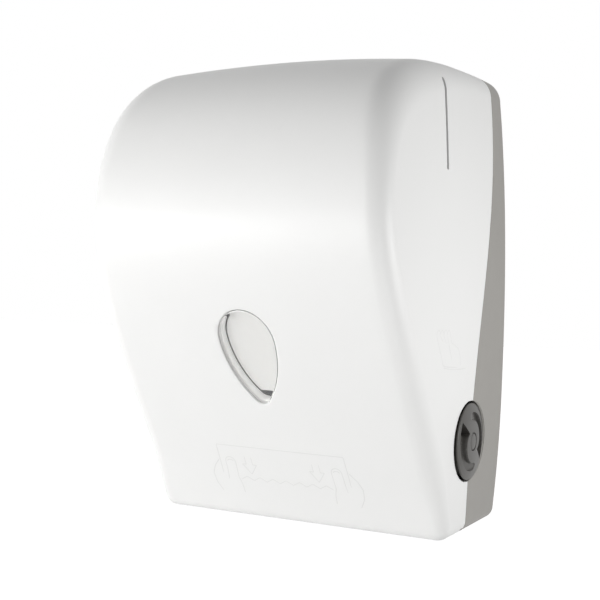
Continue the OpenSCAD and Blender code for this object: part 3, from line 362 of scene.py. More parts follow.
WIRE = finish("spring_wire", (0.50, 0.50, 0.51), 0.26, cloud=0.06, grain=900.0, relief=0.03, metallic=1.0)
BLADE = finish("blade_steel", (0.68, 0.69, 0.70), 0.2, cloud=0.03, grain=420.0, relief=0.05, metallic=1.0,
               streak=(0.05, 1, 1))
CHROME = finish("lock_chrome", (0.66, 0.67, 0.68), 0.16, cloud=0.02, grain=300.0, relief=0.01, metallic=1.0)
# The cup wall's finish glows: emission as painted light, not a lamp.
CUP_PAINTED_GLOW = finish("cup_painted_glow", (0.85, 0.85, 0.84), 0.5, cloud=0.012, relief=0.02, glow=0.2)
CUP_FLOOR = finish("cup_floor_white", (0.80, 0.80, 0.79), 0.5, cloud=0.02, relief=0.02)
CLEAR = finish("window_clear", (0.985, 0.982, 0.975), 0.04, cloud=0.004, grain=300.0, relief=0.004)
clear_shader = CLEAR.node_tree.nodes["Principled BSDF"]
clear_shader.inputs["Transmission Weight"].default_value = 1.0
clear_shader.inputs["IOR"].default_value = 1.49
print("finishes:", len(bpy.data.materials))

# %% [markdown]
# The cover's middle line runs from the seam along the base, round the toe, up the leaning front, over the
# nose and back across the roof. The front and the roof are two cubic curves that meet upright at the
# nose. Each point also keeps its outward direction, because the wall thickness and the rounded edges are
# measured square to this line.

# %% The cover's middle line
LEAN_OUT, FRONT_PULL, NOSE_PULL = 0.46, 84, 66
ROOF_RISE, ROOF_REACH = 0.855, 0.702
LEAN = np.array([LEAN_OUT, 1.0]) / math.hypot(LEAN_OUT, 1.0)
TOE = BASE_R / math.tan(math.acos(-LEAN[0]) / 2)
NOSE = np.array([CASE_D, NOSE_Z])
FRONT = np.array([[BASE_D, 0] + LEAN * TOE, [BASE_D, 0] + LEAN * FRONT_PULL, NOSE - [0, NOSE_PULL], NOSE])
ROOF = np.array([
    NOSE, NOSE + [0, (CASE_H - NOSE_Z) * ROOF_RISE], [CASE_D * ROOF_REACH, CASE_H], [0, CASE_H],
])


def cubic(p, t):
    """Points of a cubic curve and its outward direction, the tangent turned a quarter to the front."""
    t = np.asarray(t, float)[:, None]
    s = 1 - t
    spots = s**3 * p[0] + 3 * s * s * t * p[1] + 3 * s * t * t * p[2] + t**3 * p[3]
    run = s * s * (p[1] - p[0]) + 2 * s * t * (p[2] - p[1]) + t * t * (p[3] - p[2])
    run /= np.linalg.norm(run, axis=1)[:, None]
    return spots, np.stack([run[:, 1], -run[:, 0]], 1)


roof_t = np.linspace(0, 1, 2001)
roof_uz = cubic(ROOF, roof_t)[0]


def roof_z(u):
    """Height of the roof's middle line at a depth from the wall."""
    return np.interp(u, roof_uz[::-1, 0], roof_uz[::-1, 1])


end_t = np.interp(SEAM_TOP + SEAM_GAP, roof_uz[::-1, 0], roof_t[::-1])
base_u = np.linspace(SEAM_BASE + SEAM_GAP, BASE_D - TOE, 9)[:-1]
base = np.stack([base_u, 0 * base_u], 1), np.tile([0.0, -1.0], (8, 1))
toe_a = np.linspace(0, math.acos(LEAN[0]), 10)[:-1]
toe_n = np.stack([np.sin(toe_a), -np.cos(toe_a)], 1)
toe = np.array([BASE_D - TOE, BASE_R]) + BASE_R * toe_n, toe_n
front = cubic(FRONT, np.linspace(0, 1, 73)[:-1])
roof = cubic(ROOF, np.linspace(0, end_t, 80))
line = np.concatenate([base[0], toe[0], front[0], roof[0]])
line_n = np.concatenate([base[1], toe[1], front[1], roof[1]])
line_n[-1] = (0, 1)
run = np.concatenate([[0], np.cumsum(np.linalg.norm(np.diff(line, axis=0), axis=1))])
run /= run[-1]
print("middle line:", len(line), "points")

# %% [markdown]
# Across the cover, one row of points starts at the seam on the right, follows the drafted side wall, rolls
# over the rounded edge and crosses the face to the middle. The left half is its mirror image. The inner
# skin is the same surface, set one wall thickness in, and a narrow rim joins the two along the seam.

# %% Cover skin
LOW_RIM, HIGH_RIM = 2 * EDGE_R, CASE_H - TOP_R - CROWN - 8


def cover_skin(inset):
    """Rows along the middle line by columns across: side wall, quarter-round edge, face and mirror."""
    z = line[:, 1:2]
    r = round_r(line[:, 0:1], z)
    core = line - line_n * r
    x_in = side_x(core[:, 0:1], core[:, 1:2]) - r
    a = np.radians(np.linspace(0, 90, 15))[None]
    reach = (r - inset) * np.sin(a)
    edge = np.stack([
        x_in + (r - inset) * np.cos(a),
        core[:, 0:1] + line_n[:, 0:1] * reach,
        core[:, 1:2] + line_n[:, 1:2] * reach - crown_drop(x_in, line[:, 0:1], z),
    ], -1)
    rim_z = LOW_RIM + (HIGH_RIM - LOW_RIM) * run[:, None]
    rim = np.stack([0 * rim_z, seam_u(rim_z) + SEAM_GAP, rim_z], -1)
    s = np.linspace(0, 1, 26)[None, :-1, None]
    side = rim + s * (edge[:, :1] - rim)
    wall_x = side_x(side[..., 1], side[..., 2]) - inset
    meet = edge[:, :1, 0] - (side_x(edge[:, :1, 1], edge[:, :1, 2]) - inset)
    side[..., 0] = wall_x + s[..., 0] * meet
    f = np.linspace(1, 0, 31)[None, 1:]
    x = x_in * f
    face = np.stack([
        x,
        line[:, 0:1] - line_n[:, 0:1] * inset + 0 * f,
        z - line_n[:, 1:2] * inset - crown_drop(x, line[:, 0:1], z),
    ], -1)
    half = np.concatenate([side, edge, face], 1)
    return np.concatenate([half, half[:, -2::-1] * [-1, 1, 1]], 1)


def shell(outer, inner):
    """Outer and inner grids as one closed skin, with a rim of quads along their shared boundary."""
    rows, cols = outer.shape[:2]
    n = rows * cols
    i = np.arange(n).reshape(rows, cols)
    loop = np.concatenate([i[0, :-1], i[:-1, -1], i[-1, :0:-1], i[:0:-1, 0]])
    ahead = np.roll(loop, -1)
    quads = grid_quads(rows, cols)
    rim = np.stack([loop, ahead, ahead + n, loop + n], -1)
    both = np.concatenate([outer.reshape(-1, 3), inner.reshape(-1, 3)])
    points = placed(both[:, 0], both[:, 1], both[:, 2])
    return points, outward(points, [quads, quads[:, ::-1] + n, rim])


cover = make_piece("cover_shell", shell(cover_skin(0.0), cover_skin(WALL)), WHITE)
report(cover)

# %% [markdown]
# The cover has a teardrop window in front, a sight slot in each side, a round hole for the knob, one for
# the lock, the paper exit in its base and room for the hinge. Each opening is one cutter: an outline that
# follows the surface, carried through the wall, and widened near the outside in a quarter round so that
# the moulded edge is soft and catches the light.

# %% Openings in the cover
front_rows = slice(len(base[0]) + len(toe[0]), len(base[0]) + len(toe[0]) + len(front[0]) + 1)
front_line, front_out = line[front_rows], line_n[front_rows]


def on_front(x, z, h):
    """A point on the leaning front at x and z, moved out by h along the surface's own direction."""
    u = np.interp(z, front_line[:, 1], front_line[:, 0])
    nu = np.interp(z, front_line[:, 1], front_out[:, 0])
    nz = np.interp(z, front_line[:, 1], front_out[:, 1])
    return placed(x, u + nu * h, z + nz * h)


WIN_R, WIN_Z, WIN_SIDE, WIN_TIP = 23.7, 152.3, 70.0, 7.5


def teardrop(o):
    """The window's outline, o wider: a half circle, two long arcs and a tip circle, in x and z."""
    c = WIN_SIDE - WIN_R
    t = math.sqrt((WIN_SIDE - WIN_TIP) ** 2 - c * c)
    e = math.atan2(t, c)
    counts = (60, 44, 20, 44)
    starts = (0.0, math.pi, math.pi + e, -e)
    sweeps = (math.pi, e, math.pi - 2 * e, e)
    centres = ((0, WIN_Z), (c, WIN_Z), (0, WIN_Z - t), (-c, WIN_Z))
    radii = (WIN_R, WIN_SIDE, WIN_TIP, WIN_SIDE)
    arcs = [
        np.stack([m[0] + (r + o) * np.cos(a), m[1] + (r + o) * np.sin(a)], 1)
        for n, s, w, m, r in zip(counts, starts, sweeps, centres, radii)
        for a in [s + w * np.linspace(0, 1, n, endpoint=False)]
    ]
    return np.concatenate(arcs)


def ring_of(radius, o, n=96):
    """A circle, o wider than its radius."""
    a = np.linspace(0, 2 * math.pi, n, endpoint=False)
    return (radius + o) * np.stack([np.cos(a), np.sin(a)], 1)


def lip_steps(lip, inner, outer):
    """Pairs of width and height through a wall: straight, then a quarter round that opens outwards."""
    a = np.radians([0, 20, 40, 60, 78])
    o = np.concatenate([[0], lip * (1 - np.cos(a)), [lip + 0.25, lip + 0.25]])
    h = np.concatenate([[inner], lip * (np.sin(a) - 1), [lip * 0.2, outer]])
    return zip(o, h)


window_cut = capped_loft(np.stack([
    on_front(*teardrop(o).T, h) for o, h in lip_steps(0.9, -6.0, 5.0)
]))

SLOT_U, SLOT_Z, SLOT_H, SLOT_W = 118.0, 319.0, 66.0, 3.6


def slot_ring(o):
    """Two half circles a slot's length apart, with straights of many points that can follow the wall."""
    p = ring_of(SLOT_W / 2, o, 64)
    run = np.linspace(-1, 1, 24)[1:-1, None] * [0, SLOT_H / 2]
    top, low = np.array([[0, SLOT_H / 2], [0, -SLOT_H / 2]])
    across = np.array([SLOT_W / 2 + o, 0])
    ring = np.concatenate([p[:33] + top, run[::-1] - across, p[32:] + low, p[:1] + low, run + across])
    return ring + [SLOT_U, SLOT_Z]


def on_side(uz, h):
    """Points of the right side wall at a depth and a height, moved out by h."""
    u, z = uz[..., 0], uz[..., 1]
    return placed(side_x(u, z) + h, u, z)


slot_right = np.stack([on_side(slot_ring(o), h) for o, h in lip_steps(0.35, -6.0, 4.0)])
slot_cuts = [capped_loft(slot_right), capped_loft(slot_right * [-1, 1, 1])]
KNOB_HOLE = 32.0
knob_cut = capped_loft(np.stack([
    on_side(ring_of(KNOB_HOLE, o, 160) + [DRUM_U, DRUM_Z], h) for o, h in lip_steps(0.5, -8.0, 6.0)
]))
LOCK_U, LOCK_R = 40.0, 9.15


def on_roof(xu, h):
    """A point of the roof, moved up by h."""
    return placed(xu[:, 0], xu[:, 1], roof_z(xu[:, 1]) - crown_drop(*xu.T, CASE_H) + h)


lock_cut = capped_loft(np.stack([
    on_roof(ring_of(LOCK_R, o) + [0, LOCK_U], h) for o, h in lip_steps(0.4, -8.0, 6.0)
]))


def block(x, u, z):
    """A plain box between two values of x, u and z, as a capped loft of two rectangles."""
    ring = np.array([[0, 0], [1, 0], [1, 1], [0, 1]])
    lay = [placed(x[0] + (x[1] - x[0]) * ring[:, 0], u[0] + (u[1] - u[0]) * ring[:, 1], zz) for zz in z]
    return capped_loft(np.stack(lay))


HINGE_U, HINGE_Z, BARREL_R, KNUCKLE_X, KNUCKLE_W = 70.5, 5.0, 4.0, 116.8, 8.5
EXIT_X, EXIT_FRONT, HINGE_FRONT, CUT_BACK = 105, 96, 76, 40
exit_cut = block((-EXIT_X, EXIT_X), (CUT_BACK, EXIT_FRONT), (-4, 9))
hinge_cut = block((-KNUCKLE_X, KNUCKLE_X), (CUT_BACK, HINGE_FRONT), (-5, 10))
corner_cut = block((-CASE_W, CASE_W), (CUT_BACK, HINGE_U), (-6, HINGE_Z))
for opening in (joined([window_cut, *slot_cuts, knob_cut, lock_cut]), exit_cut, hinge_cut, corner_cut):
    cut(cover, opening)
report(cover)

# %% [markdown]
# Two knuckles at the ends of the base turn on the hinge pins. In profile each is a barrel with a short
# foot that runs into the base. The same idea, a flat outline carried along x, also makes the ears on the
# wall plate.

# %% Hinge knuckles


def barrel_outline(foot_u, foot_low, foot_high):
    """A barrel round the hinge axis, drawn out to a foot: most of a circle and two corners, in u and z."""
    s = math.copysign(1, foot_u - HINGE_U)
    a = np.radians(np.linspace(90, 270, 25))
    arc = np.stack([HINGE_U + s * BARREL_R * np.cos(a), HINGE_Z + BARREL_R * np.sin(a)], 1)
    return np.concatenate([arc, [[foot_u, foot_low], [foot_u, foot_high]]])


def carried_x(outline, x0, x1, edge=0.3):
    """An outline in u and z carried from x0 to x1, with its ends drawn in a little as a soft edge."""
    mid = outline.mean(0)
    small = mid + (outline - mid) * (1 - edge / np.abs(outline - mid).max())
    stack = ((small, x0), (outline, x0 + edge), (outline, x1 - edge), (small, x1))
    return capped_loft(np.stack([placed(x, p[:, 0], p[:, 1]) for p, x in stack]))


knuckle = barrel_outline(80.5, 1.0, 5.0)
knuckles = make_piece("cover_knuckles", joined([
    carried_x(knuckle, KNUCKLE_X, KNUCKLE_X + KNUCKLE_W),
    carried_x(knuckle, -KNUCKLE_X - KNUCKLE_W, -KNUCKLE_X),
]), WHITE)
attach(cover, "cover")
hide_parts("front_cover")
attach(knuckles, "cover")
report(knuckles)

# %% [markdown]
# The wall plate is a shallow tray. One closed ring of points goes round it: along the base, up the
# drafted side, over the rounded upper corner and across the crowned top. Moving that ring out from the
# wall makes the outer wall, turning it over a small lip and back down makes the inside, and a flat floor
# closes it.

# %% Wall plate
FLOOR = 3.0


def plate_ring(depth, inset):
    """The plate's outline at a depth that is a function of the seam's, set in by inset."""
    a = np.radians(np.linspace(90, 0, 13))
    low = EDGE_R - (EDGE_R - inset) * np.sin(a)
    low_u = depth(seam_u(low))
    low_x = plate_x(low_u, EDGE_R) - EDGE_R + (EDGE_R - inset) * np.cos(a)
    z = np.linspace(LOW_RIM - 6, HIGH_RIM, 90)
    u = depth(seam_u(z))
    top_u = float(depth(np.array(SEAM_TOP)))
    top = float(roof_z(top_u))
    tr = float(round_r(SEAM_TOP, CASE_H))
    tx = float(plate_x(top_u, top - tr)) - tr
    b = np.radians(np.linspace(0, 90, 15))
    f = np.linspace(1, 0, 25)[1:] * tx
    x = np.concatenate([low_x, plate_x(u, z) - inset, tx + (tr - inset) * np.cos(b), f])
    uu = np.concatenate([low_u, u, np.full(len(b) + len(f), top_u)])
    zz = np.concatenate([
        low,
        z,
        top - tr + (tr - inset) * np.sin(b) - crown_drop(tx, top_u, top),
        top - inset - crown_drop(f, top_u, top),
    ])
    half = np.stack([x, uu, zz], 1)
    ring = np.concatenate([half, half[-2::-1] * [-1, 1, 1]])
    return placed(ring[:, 0], ring[:, 1], ring[:, 2])


steps = [(lambda s, t=t: t * s, 0.0) for t in np.linspace(0, 0.985, 9)]
lip = ((0.35, 0.03), (0.12, 0.12), (0.0, 0.4), (0.0, 2.6), (0.3, WALL))
steps += [(lambda s, d=d: s - d, i) for d, i in lip]
steps += [(lambda s, t=t: FLOOR + (s - FLOOR) * t, WALL) for t in (0.7, 0.35, 0.02)]
steps += [(lambda s: FLOOR + 0 * s, WALL + 0.6)]
plate = make_piece("wall_tray", capped_loft(np.stack([plate_ring(d, i) for d, i in steps])), GREY)


def rod_y(x, z, u0, u1, r, n=40):
    """A round post from depth u0 to u1, with a soft outer edge."""
    p = ring_of(r, 0, n)
    q = ring_of(r, -0.3, n)
    stack = ((p, u0), (p, u1 - 0.3), (q, u1))
    return capped_loft(np.stack([placed(x + c[:, 0], u, z + c[:, 1]) for c, u in stack]))


HOLE_X, HOLE_LOW, HOLE_HIGH, HOLE_R = 116.0, 25.0, 325.0, 3.0
holes = [(s * HOLE_X, z) for s in (-1, 1) for z in (HOLE_LOW, HOLE_HIGH)]
cut(plate, joined([rod_y(x, z, -2, 9, HOLE_R) for x, z in holes] + [knob_cut]))
report(plate)

# %% [markdown]
# Inside the tray stand the bosses that take the frame's screws, thickened pads round the four wall holes,
# three stiffening ribs and the two hinge ears. They are simple posts and plates, so each is a short loft
# that starts just inside the floor it grows from.

# %% Bosses, pads, ribs and ears
FRAME_SEAT_X, FRAME_SEAT_LOW, FRAME_SEAT_HIGH = 119.0, 48.0, 122.0
ARM_SEAT_X, ARM_SEAT_Z, ARM_SEAT_APART = 112.0, 250.0, 28.0
KEEPER_SEAT_X, KEEPER_DROP = 7.0, 42.0
ROOT_U, SEAT_U, SEAT_R, RIB_U, RIB_X, RIB_TOP = 2.5, 8.0, 5.0, 9, 60, 303
EAR_X, EAR_W, EAR_TOP = 110, 6.5, 9.0
seats = [(s * FRAME_SEAT_X, z) for s in (-1, 1) for z in (FRAME_SEAT_LOW, FRAME_SEAT_HIGH)]
seats += [(s * ARM_SEAT_X, ARM_SEAT_Z + d * ARM_SEAT_APART) for s in (-1, 1) for d in (-1, 1)]
keeper_z = float(roof_z(LOCK_U)) - KEEPER_DROP
seats += [(s * KEEPER_SEAT_X, keeper_z) for s in (-1, 1)]
ear = barrel_outline(ROOT_U, ROOT_U, EAR_TOP)


def pad(x, z):
    """A flat ring round a wall hole: out from the floor, over the top and back down the hole."""
    stack = ((8.0, ROOT_U), (8.0, 4.7), (7.7, 5.0), (HOLE_R + 0.3, 5.0), (HOLE_R, 4.7), (HOLE_R, ROOT_U))
    rings = np.stack([placed(x + c[:, 0], u, z + c[:, 1]) for r, u in stack for c in [ring_of(r, 0, 48)]])
    points = rings.reshape(-1, 3)
    quads = grid_quads(7, 48, closed=True) % len(points)
    return points, outward(points, [quads])


fittings = make_piece("tray_fittings", joined(
    [rod_y(x, z, ROOT_U, SEAT_U, SEAT_R) for x, z in seats]
    + [pad(x, z) for x, z in holes]
    + [block((x - 1, x + 1), (ROOT_U, RIB_U), (ROOT_U, RIB_TOP)) for x in (-RIB_X, 0, RIB_X)]
    + [carried_x(ear, EAR_X, EAR_X + EAR_W), carried_x(ear, -EAR_X - EAR_W, -EAR_X)]
), GREY)
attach(plate, "wall_frame")
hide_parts("back_plate")
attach(fittings, "wall_frame")
report(fittings)

# %% [markdown]
# The knob is turned by hand to feed the first sheet. Its face is a low dome with two finger grooves that
# start shallow and deepen round the hub to a steep wall to push against. Seen from the side, that is a
# height over radius and angle, so one polar grid makes the whole face, its shoulder and the flange. An
# undercut below the flange leaves the dark shadow line that shows round the knob.

# %% Feed knob
KNOB_R, RIM_R, NECK_R, CAP_R = 30.3, 29.3, 27.6, 7.2
SIDE_X = float(side_x(DRUM_U, DRUM_Z))
KNOB_TOP = SIDE_X + 3.9
GROOVE_FROM, GROOVE_SWEEP, POCKET = math.radians(141), math.radians(146), math.radians(15)
GROOVE_R, GROOVE_NARROWS = 26.6, 4.0
HUB_R, HUB_GROWS, HUB_OVER = 11.6, 6.2, math.radians(60)
SHALLOW, RAMP_DEEP, POCKET_DEEP = 0.5, 5.1, 6.6
STEEP, SOFT, END_FROM, FACE_FALL = math.radians(1.6), 0.8, 0.9, 2.9


def groove_depth(r, a):
    """Two ramps half a turn apart: a pocket at a steep wall, then a ramp that rises to a round end."""
    turn = np.mod(a - GROOVE_FROM, math.pi)
    share = turn / GROOVE_SWEEP
    ramp = SHALLOW + RAMP_DEEP * np.clip(1 - share**1.6, 0, 1)
    depth = ramp + POCKET_DEEP * ease((POCKET - turn) / STEEP + 0.5)
    inner = HUB_R + HUB_GROWS * (1 - np.exp(-turn / HUB_OVER))
    outer = GROOVE_R - GROOVE_NARROWS * ease(share)
    middle, width = (inner + outer) / 2, (outer - inner) / 2
    end = np.clip((share - END_FROM) / (1 - END_FROM), 0, 1)
    band = ease((width * np.sqrt(1 - end**2) - np.abs(r - middle)) / SOFT + 0.5)
    return depth * band * ease(turn / STEEP) * (share < 1)


def knob_face():
    """Rings from the cap's pocket over a face that falls with the cube of r, round a rim to a neck."""
    b = np.radians(np.linspace(10, 90, 8))
    face_r = np.concatenate([[CAP_R + 0.25], np.linspace(7.8, RIM_R, 92)])
    fall = FACE_FALL * (face_r / KNOB_R) ** 3
    edge = KNOB_R - RIM_R
    below = -fall[-1] - edge - np.array([0.4, 0.7, 1.2, 9.8])
    r = np.concatenate([
        [CAP_R, CAP_R], face_r, RIM_R + edge * np.sin(b), [KNOB_R, KNOB_R - 0.4, NECK_R, NECK_R],
    ])[:, None]
    h = np.concatenate([[-3.0, -0.3], -fall, -fall[-1] - edge * (1 - np.cos(b)), below])[:, None]
    a = np.linspace(0, 2 * math.pi, 720, endpoint=False)[None]
    x = KNOB_TOP + h - groove_depth(r, a) * (r < RIM_R)
    return placed(x, DRUM_U - r * np.cos(a), DRUM_Z + r * np.sin(a))


knob = make_piece("knob_disc", capped_loft(knob_face()), DARK, sharp=50)


def hub_sleeve(stack):
    """A turned piece on the drum's axis: rings of radius and x."""
    return capped_loft(np.stack([
        placed(x, DRUM_U + c[:, 0], DRUM_Z + c[:, 1]) for r, x in stack for c in [ring_of(r, 0, 72)]
    ]))


sleeve = make_piece("knob_sleeve", hub_sleeve((
    (8.6, 115.0), (9.0, 115.4), (9.0, KNOB_TOP - 12.5),
)), DARK)
cap = make_piece("knob_centre", hub_sleeve((
    (CAP_R - 0.75, KNOB_TOP - 2.9), (CAP_R - 0.75, KNOB_TOP - 0.6), (CAP_R - 0.85, KNOB_TOP - 0.4),
    (CAP_R - 1.1, KNOB_TOP - 0.25), (CAP_R - 1.7, KNOB_TOP - 0.15), (CAP_R - 4.0, KNOB_TOP - 0.05),
)), DARK)
for piece, node in ((knob, "feed_knob"), (cap, "knob_cap")):
    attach(piece, "drum")
    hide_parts(node)
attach(sleeve, "drum")
report(knob)

# %% [markdown]
# Behind the teardrop opening sits a clear moulded lens with a flange, and behind that a pale cup, so that
# the window shows a clean bright pocket. All of it follows the leaning front: rings of the same outline,
# wider or narrower, at heights measured square to the cover. The cup's wall glows a little in its own
# colour: a painted glow that stands in for light coming through the thin wall. A dark rubber ring between
# the wall and the floor is painted shadow in the gap there.

# %% Window lens and cup
WIN_MID, TIP_CUT = np.array([0.0, 143.0]), 109.0


def cut_teardrop(o):
    """The teardrop, o wider, ended level above its tip, so that the dark ring of painted shadow shows below
    the floor.
    """
    return np.maximum(teardrop(o), [-CASE_W, TIP_CUT])


def teardrop_rings(stack, outline=teardrop):
    """Rings of the outline: each an offset, a height over the front and a scale about the middle."""
    out = []
    for o, h, s in stack:
        p = WIN_MID + (outline(o) - WIN_MID) * s
        out.append(on_front(p[:, 0], p[:, 1], h))
    return np.stack(out)


lens_stack = [
    (-3.0, -5.0, 0.2), (-3.0, -5.0, 0.95), (2.7, -5.0, 1), (3.0, -4.7, 1), (3.0, -3.5, 1), (2.8, -3.3, 1),
    (-0.15, -3.3, 1), (-0.15, -1.2, 1), (-0.3, -0.8, 1), (-0.6, -0.5, 1), (-1.1, -0.3, 1), (-2.0, -0.2, 1),
]
dome = [(-2.0, -0.2 + 0.5 * (1 - s * s), s) for s in (0.98, 0.9, 0.75, 0.55, 0.35, 0.15)]
lens = make_piece("clear_lens", capped_loft(teardrop_rings(lens_stack + dome)), CLEAR)
wall_stack = [
    (-3.2, -13.65, 0.3), (-1.6, -13.65, 1), (-1.6, -5.3, 1), (-1.3, -5.05, 1), (2.8, -5.05, 1),
    (3.0, -5.3, 1), (3.0, -13.5, 1), (2.6, -13.9, 1), (-3.2, -13.9, 0.9), (-3.2, -13.9, 0.3),
]
# The cup's wall glows in its own colour: painted light on its inside.
cup = make_piece("cup_wall", capped_loft(teardrop_rings(wall_stack)), CUP_PAINTED_GLOW)
# A dark rubber ring between the cup's wall and floor: painted shadow in the gap there.
shade_ring_stack = [
    (-3.2, -13.6, 0.3), (-1.65, -13.6, 1), (-1.65, -11.3, 1), (-3.2, -11.3, 0.9), (-3.2, -11.3, 0.3),
]
shade_ring = make_piece("cup_shade_ring", capped_loft(teardrop_rings(shade_ring_stack)), RUBBER)
floor_stack = [
    (-3.2, -11.28, 0.3), (-2.95, -11.28, 1), (-2.9, -11.1, 1), (-3.05, -10.92, 1),
    (-3.4, -10.8, 1), (-3.4, -10.8, 0.9), (-3.4, -10.8, 0.3),
]
cup_floor = make_piece("cup_floor", capped_loft(teardrop_rings(floor_stack, cut_teardrop)), CUP_FLOOR)
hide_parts("window_lens")
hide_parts("window_tray")
window_slots = {lens: "clear_lens", cup: "cover_white", cup_floor: "cover_white", shade_ring: "grip_rubber"}
for piece, slot in window_slots.items():
    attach(piece, "cover")
report(lens)
report(cup)

# %% [markdown]
# Low on the front a faint moulded pictogram shows how to pull a sheet with two hands. It is drawn here as
# thin ridges: each line is a small half-round profile carried along a path on the leaning front. The
# figure is a plain one of its kind: a sheet with a torn edge, two arrows and two open hands. A smaller
# hand above its cuff is moulded in the right side, over the knob, from a path in depth and height. The
# ridges are white plastic like the cover, coloured a little greyer as painted shade along the lines.

# %% Moulded pull sign
RIDGE_W, RIDGE_H = 0.75, 0.12


def even_path(points, n):
    """A path through the given points in straight runs, with its points evenly spaced."""
    p = np.asarray(points, float)
    d = np.concatenate([[0], np.cumsum(np.linalg.norm(np.diff(p, axis=0), axis=1))])
    t = np.linspace(0, d[-1], n)
    return np.stack([np.interp(t, d, p[:, 0]), np.interp(t, d, p[:, 1])], 1)


def ridge(path, wall=on_front):
    """A half-round ridge along a path on the front or another wall, tapering at both ends."""
    t = np.gradient(path, axis=0)
    t /= np.linalg.norm(t, axis=1)[:, None]
    side = np.stack([-t[:, 1], t[:, 0]], 1)
    n = len(path)
    taper = np.sqrt(np.clip(np.minimum(np.arange(n), np.arange(n)[::-1]) / 2.0, 0.08, 1))[:, None]
    a = np.linspace(0, math.pi, 9)[None]
    across = np.concatenate([RIDGE_W / 2 * np.cos(a), [[-RIDGE_W / 2 * 0.6, RIDGE_W / 2 * 0.6]]], 1) * taper
    height = np.concatenate([RIDGE_H * np.sin(a), [[-0.4, -0.4]]], 1) * taper - 0.02
    x = path[:, 0:1] + side[:, 0:1] * across
    z = path[:, 1:2] + side[:, 1:2] * across
    return capped_loft(wall(x, z, height))


def mirrored(p):
    """The same path on the other side of the middle."""
    return np.asarray(p, float) * [-1, 1]


sheet = [(-58, 38), (-57, 64), (57, 64), (58, 38)]
torn_x = np.linspace(-42, 42, 15)
torn = np.stack([torn_x, np.where(np.arange(15) % 2 == 0, 34.2, 37.5)], 1)
arrow = [(27.5, 55), (27.5, 48.4), (24.0, 48.4), (30.5, 39.8), (37.0, 48.4), (33.5, 48.4), (33.5, 55)]
finger = 45 + 4.6 * np.stack([np.cos(np.linspace(math.pi, 0, 13)), np.sin(np.linspace(math.pi, 0, 13))], 1)
thumb = np.concatenate([[(42, 22), (42.5, 30), (44.2, 36)], finger + [2.9, 4], [(53, 41), (54, 33)]])
nail = finger[2:11] * [0.72, 0.62] + [15.5, 20.5]
hand = [(58.5, 50.5), (64.5, 44), (67.8, 37.5), (67, 29), (63, 21.5)]
sign_paths = [sheet, torn] + [q for p in (arrow, thumb, nail, hand) for q in (p, mirrored(p))]
# The front sign's ridges take a greyer white: painted shade along the lines.
sign = make_piece("pull_sign", joined([ridge(even_path(p, 120)) for p in sign_paths]), SIGN_PAINTED_SHADE, sharp=60)
knuckle_u, knuckle_z = np.array([139.6, 132.8, 126.2, 119.6, 113.8]), 160.4
tip_a = np.linspace(0, math.pi, 9)
tip_mid = (knuckle_u[:-1, None] + knuckle_u[1:, None]) / 2
tip_r = (knuckle_u[:-1, None] - knuckle_u[1:, None]) / 2
tips = np.stack([tip_mid + tip_r * np.cos(tip_a), knuckle_z + 1.2 * tip_r * np.sin(tip_a)], -1)
heel = [(99.1, 134.9), (113.2, 136.0), (124.4, 137.3), (127.0, 138.4), (128.0, 140.8)]
thumb_side = [(110.7, 154.2), (103.5, 152.0), (97.0, 149.0), (92.9, 142.6), (92.0, 135.6)]
cuff = [(125.8, 136.2), (113.1, 134.4), (92.8, 133.1), (80.3, 133.3)]
gap_ends = [(127.9, 155.7), (121.9, 154.4), (110.0, 141.3)]
gaps = [[(u, knuckle_z), end] for u, end in zip(knuckle_u[1:-1], gap_ends)]
hand_outline = np.concatenate([heel, tips.reshape(-1, 2), thumb_side])
# The side hand's ridges take a slightly greyer white: faint painted shade.
hand_sign = make_piece("hand_sign", joined([
    ridge(even_path(p, n), lambda u, z, h: on_side(np.stack([u, z], -1), h))
    for p, n in ((hand_outline, 220), (cuff, 60), *((g, 40) for g in gaps))
]), FAINT_PAINTED_SHADE, sharp=60)
for piece in (sign, hand_sign):
    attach(piece, "cover")
    report(piece)

# %% [markdown]
# Springs are round wire, so each one is a circle carried along its own centreline. The route is the one
# that the solid has: an eye, a straight, the turns, a straight and an eye for the drive spring, and a leg,
# the turns and a leg for the torsion springs. Here the wire has more points, and its bends are eased.

# %% Springs


def eased(p, passes=3):
    """The same route with its corners rounded: each inner point moves to the mean of its neighbours."""
    for _ in range(passes):
        p = np.concatenate([p[:1], (p[:-2] + 2 * p[1:-1] + p[2:]) / 4, p[-1:]])
    return p


def wire(path, r, sides=12):
    """A round wire along a path: a circle in the plane square to the tangent at every point."""
    t = np.gradient(path, axis=0)
    t /= np.linalg.norm(t, axis=1)[:, None]
    ref = np.array([0.52, 0.31, 0.796])
    n = np.cross(t, ref)
    n /= np.linalg.norm(n, axis=1)[:, None]
    b = np.cross(t, n)
    a = np.linspace(0, 2 * math.pi, sides, endpoint=False)[None, :, None]
    ring = path[:, None] + r * (n[:, None] * np.cos(a) + b[:, None] * np.sin(a))
    return capped_loft(placed(ring[..., 0], -ring[..., 1], ring[..., 2]))


def torsion(r, turns, pitch, low, high):
    """A torsion spring round z: a leg below, a helix that climbs one pitch a turn, and a leg above."""
    a = np.linspace(0, 2 * math.pi * turns, turns * 28 + 1)
    helix = np.stack([r * np.cos(a), r * np.sin(a), pitch * a / (2 * math.pi)], 1)
    top = turns * pitch
    below = np.linspace((r, 0, -low), (r, 0, -0.1), 8)
    above = np.linspace((r, 0, top + 0.1), (r, 0, top + high), 8)
    return eased(np.concatenate([below, helix[1:-1], above]))


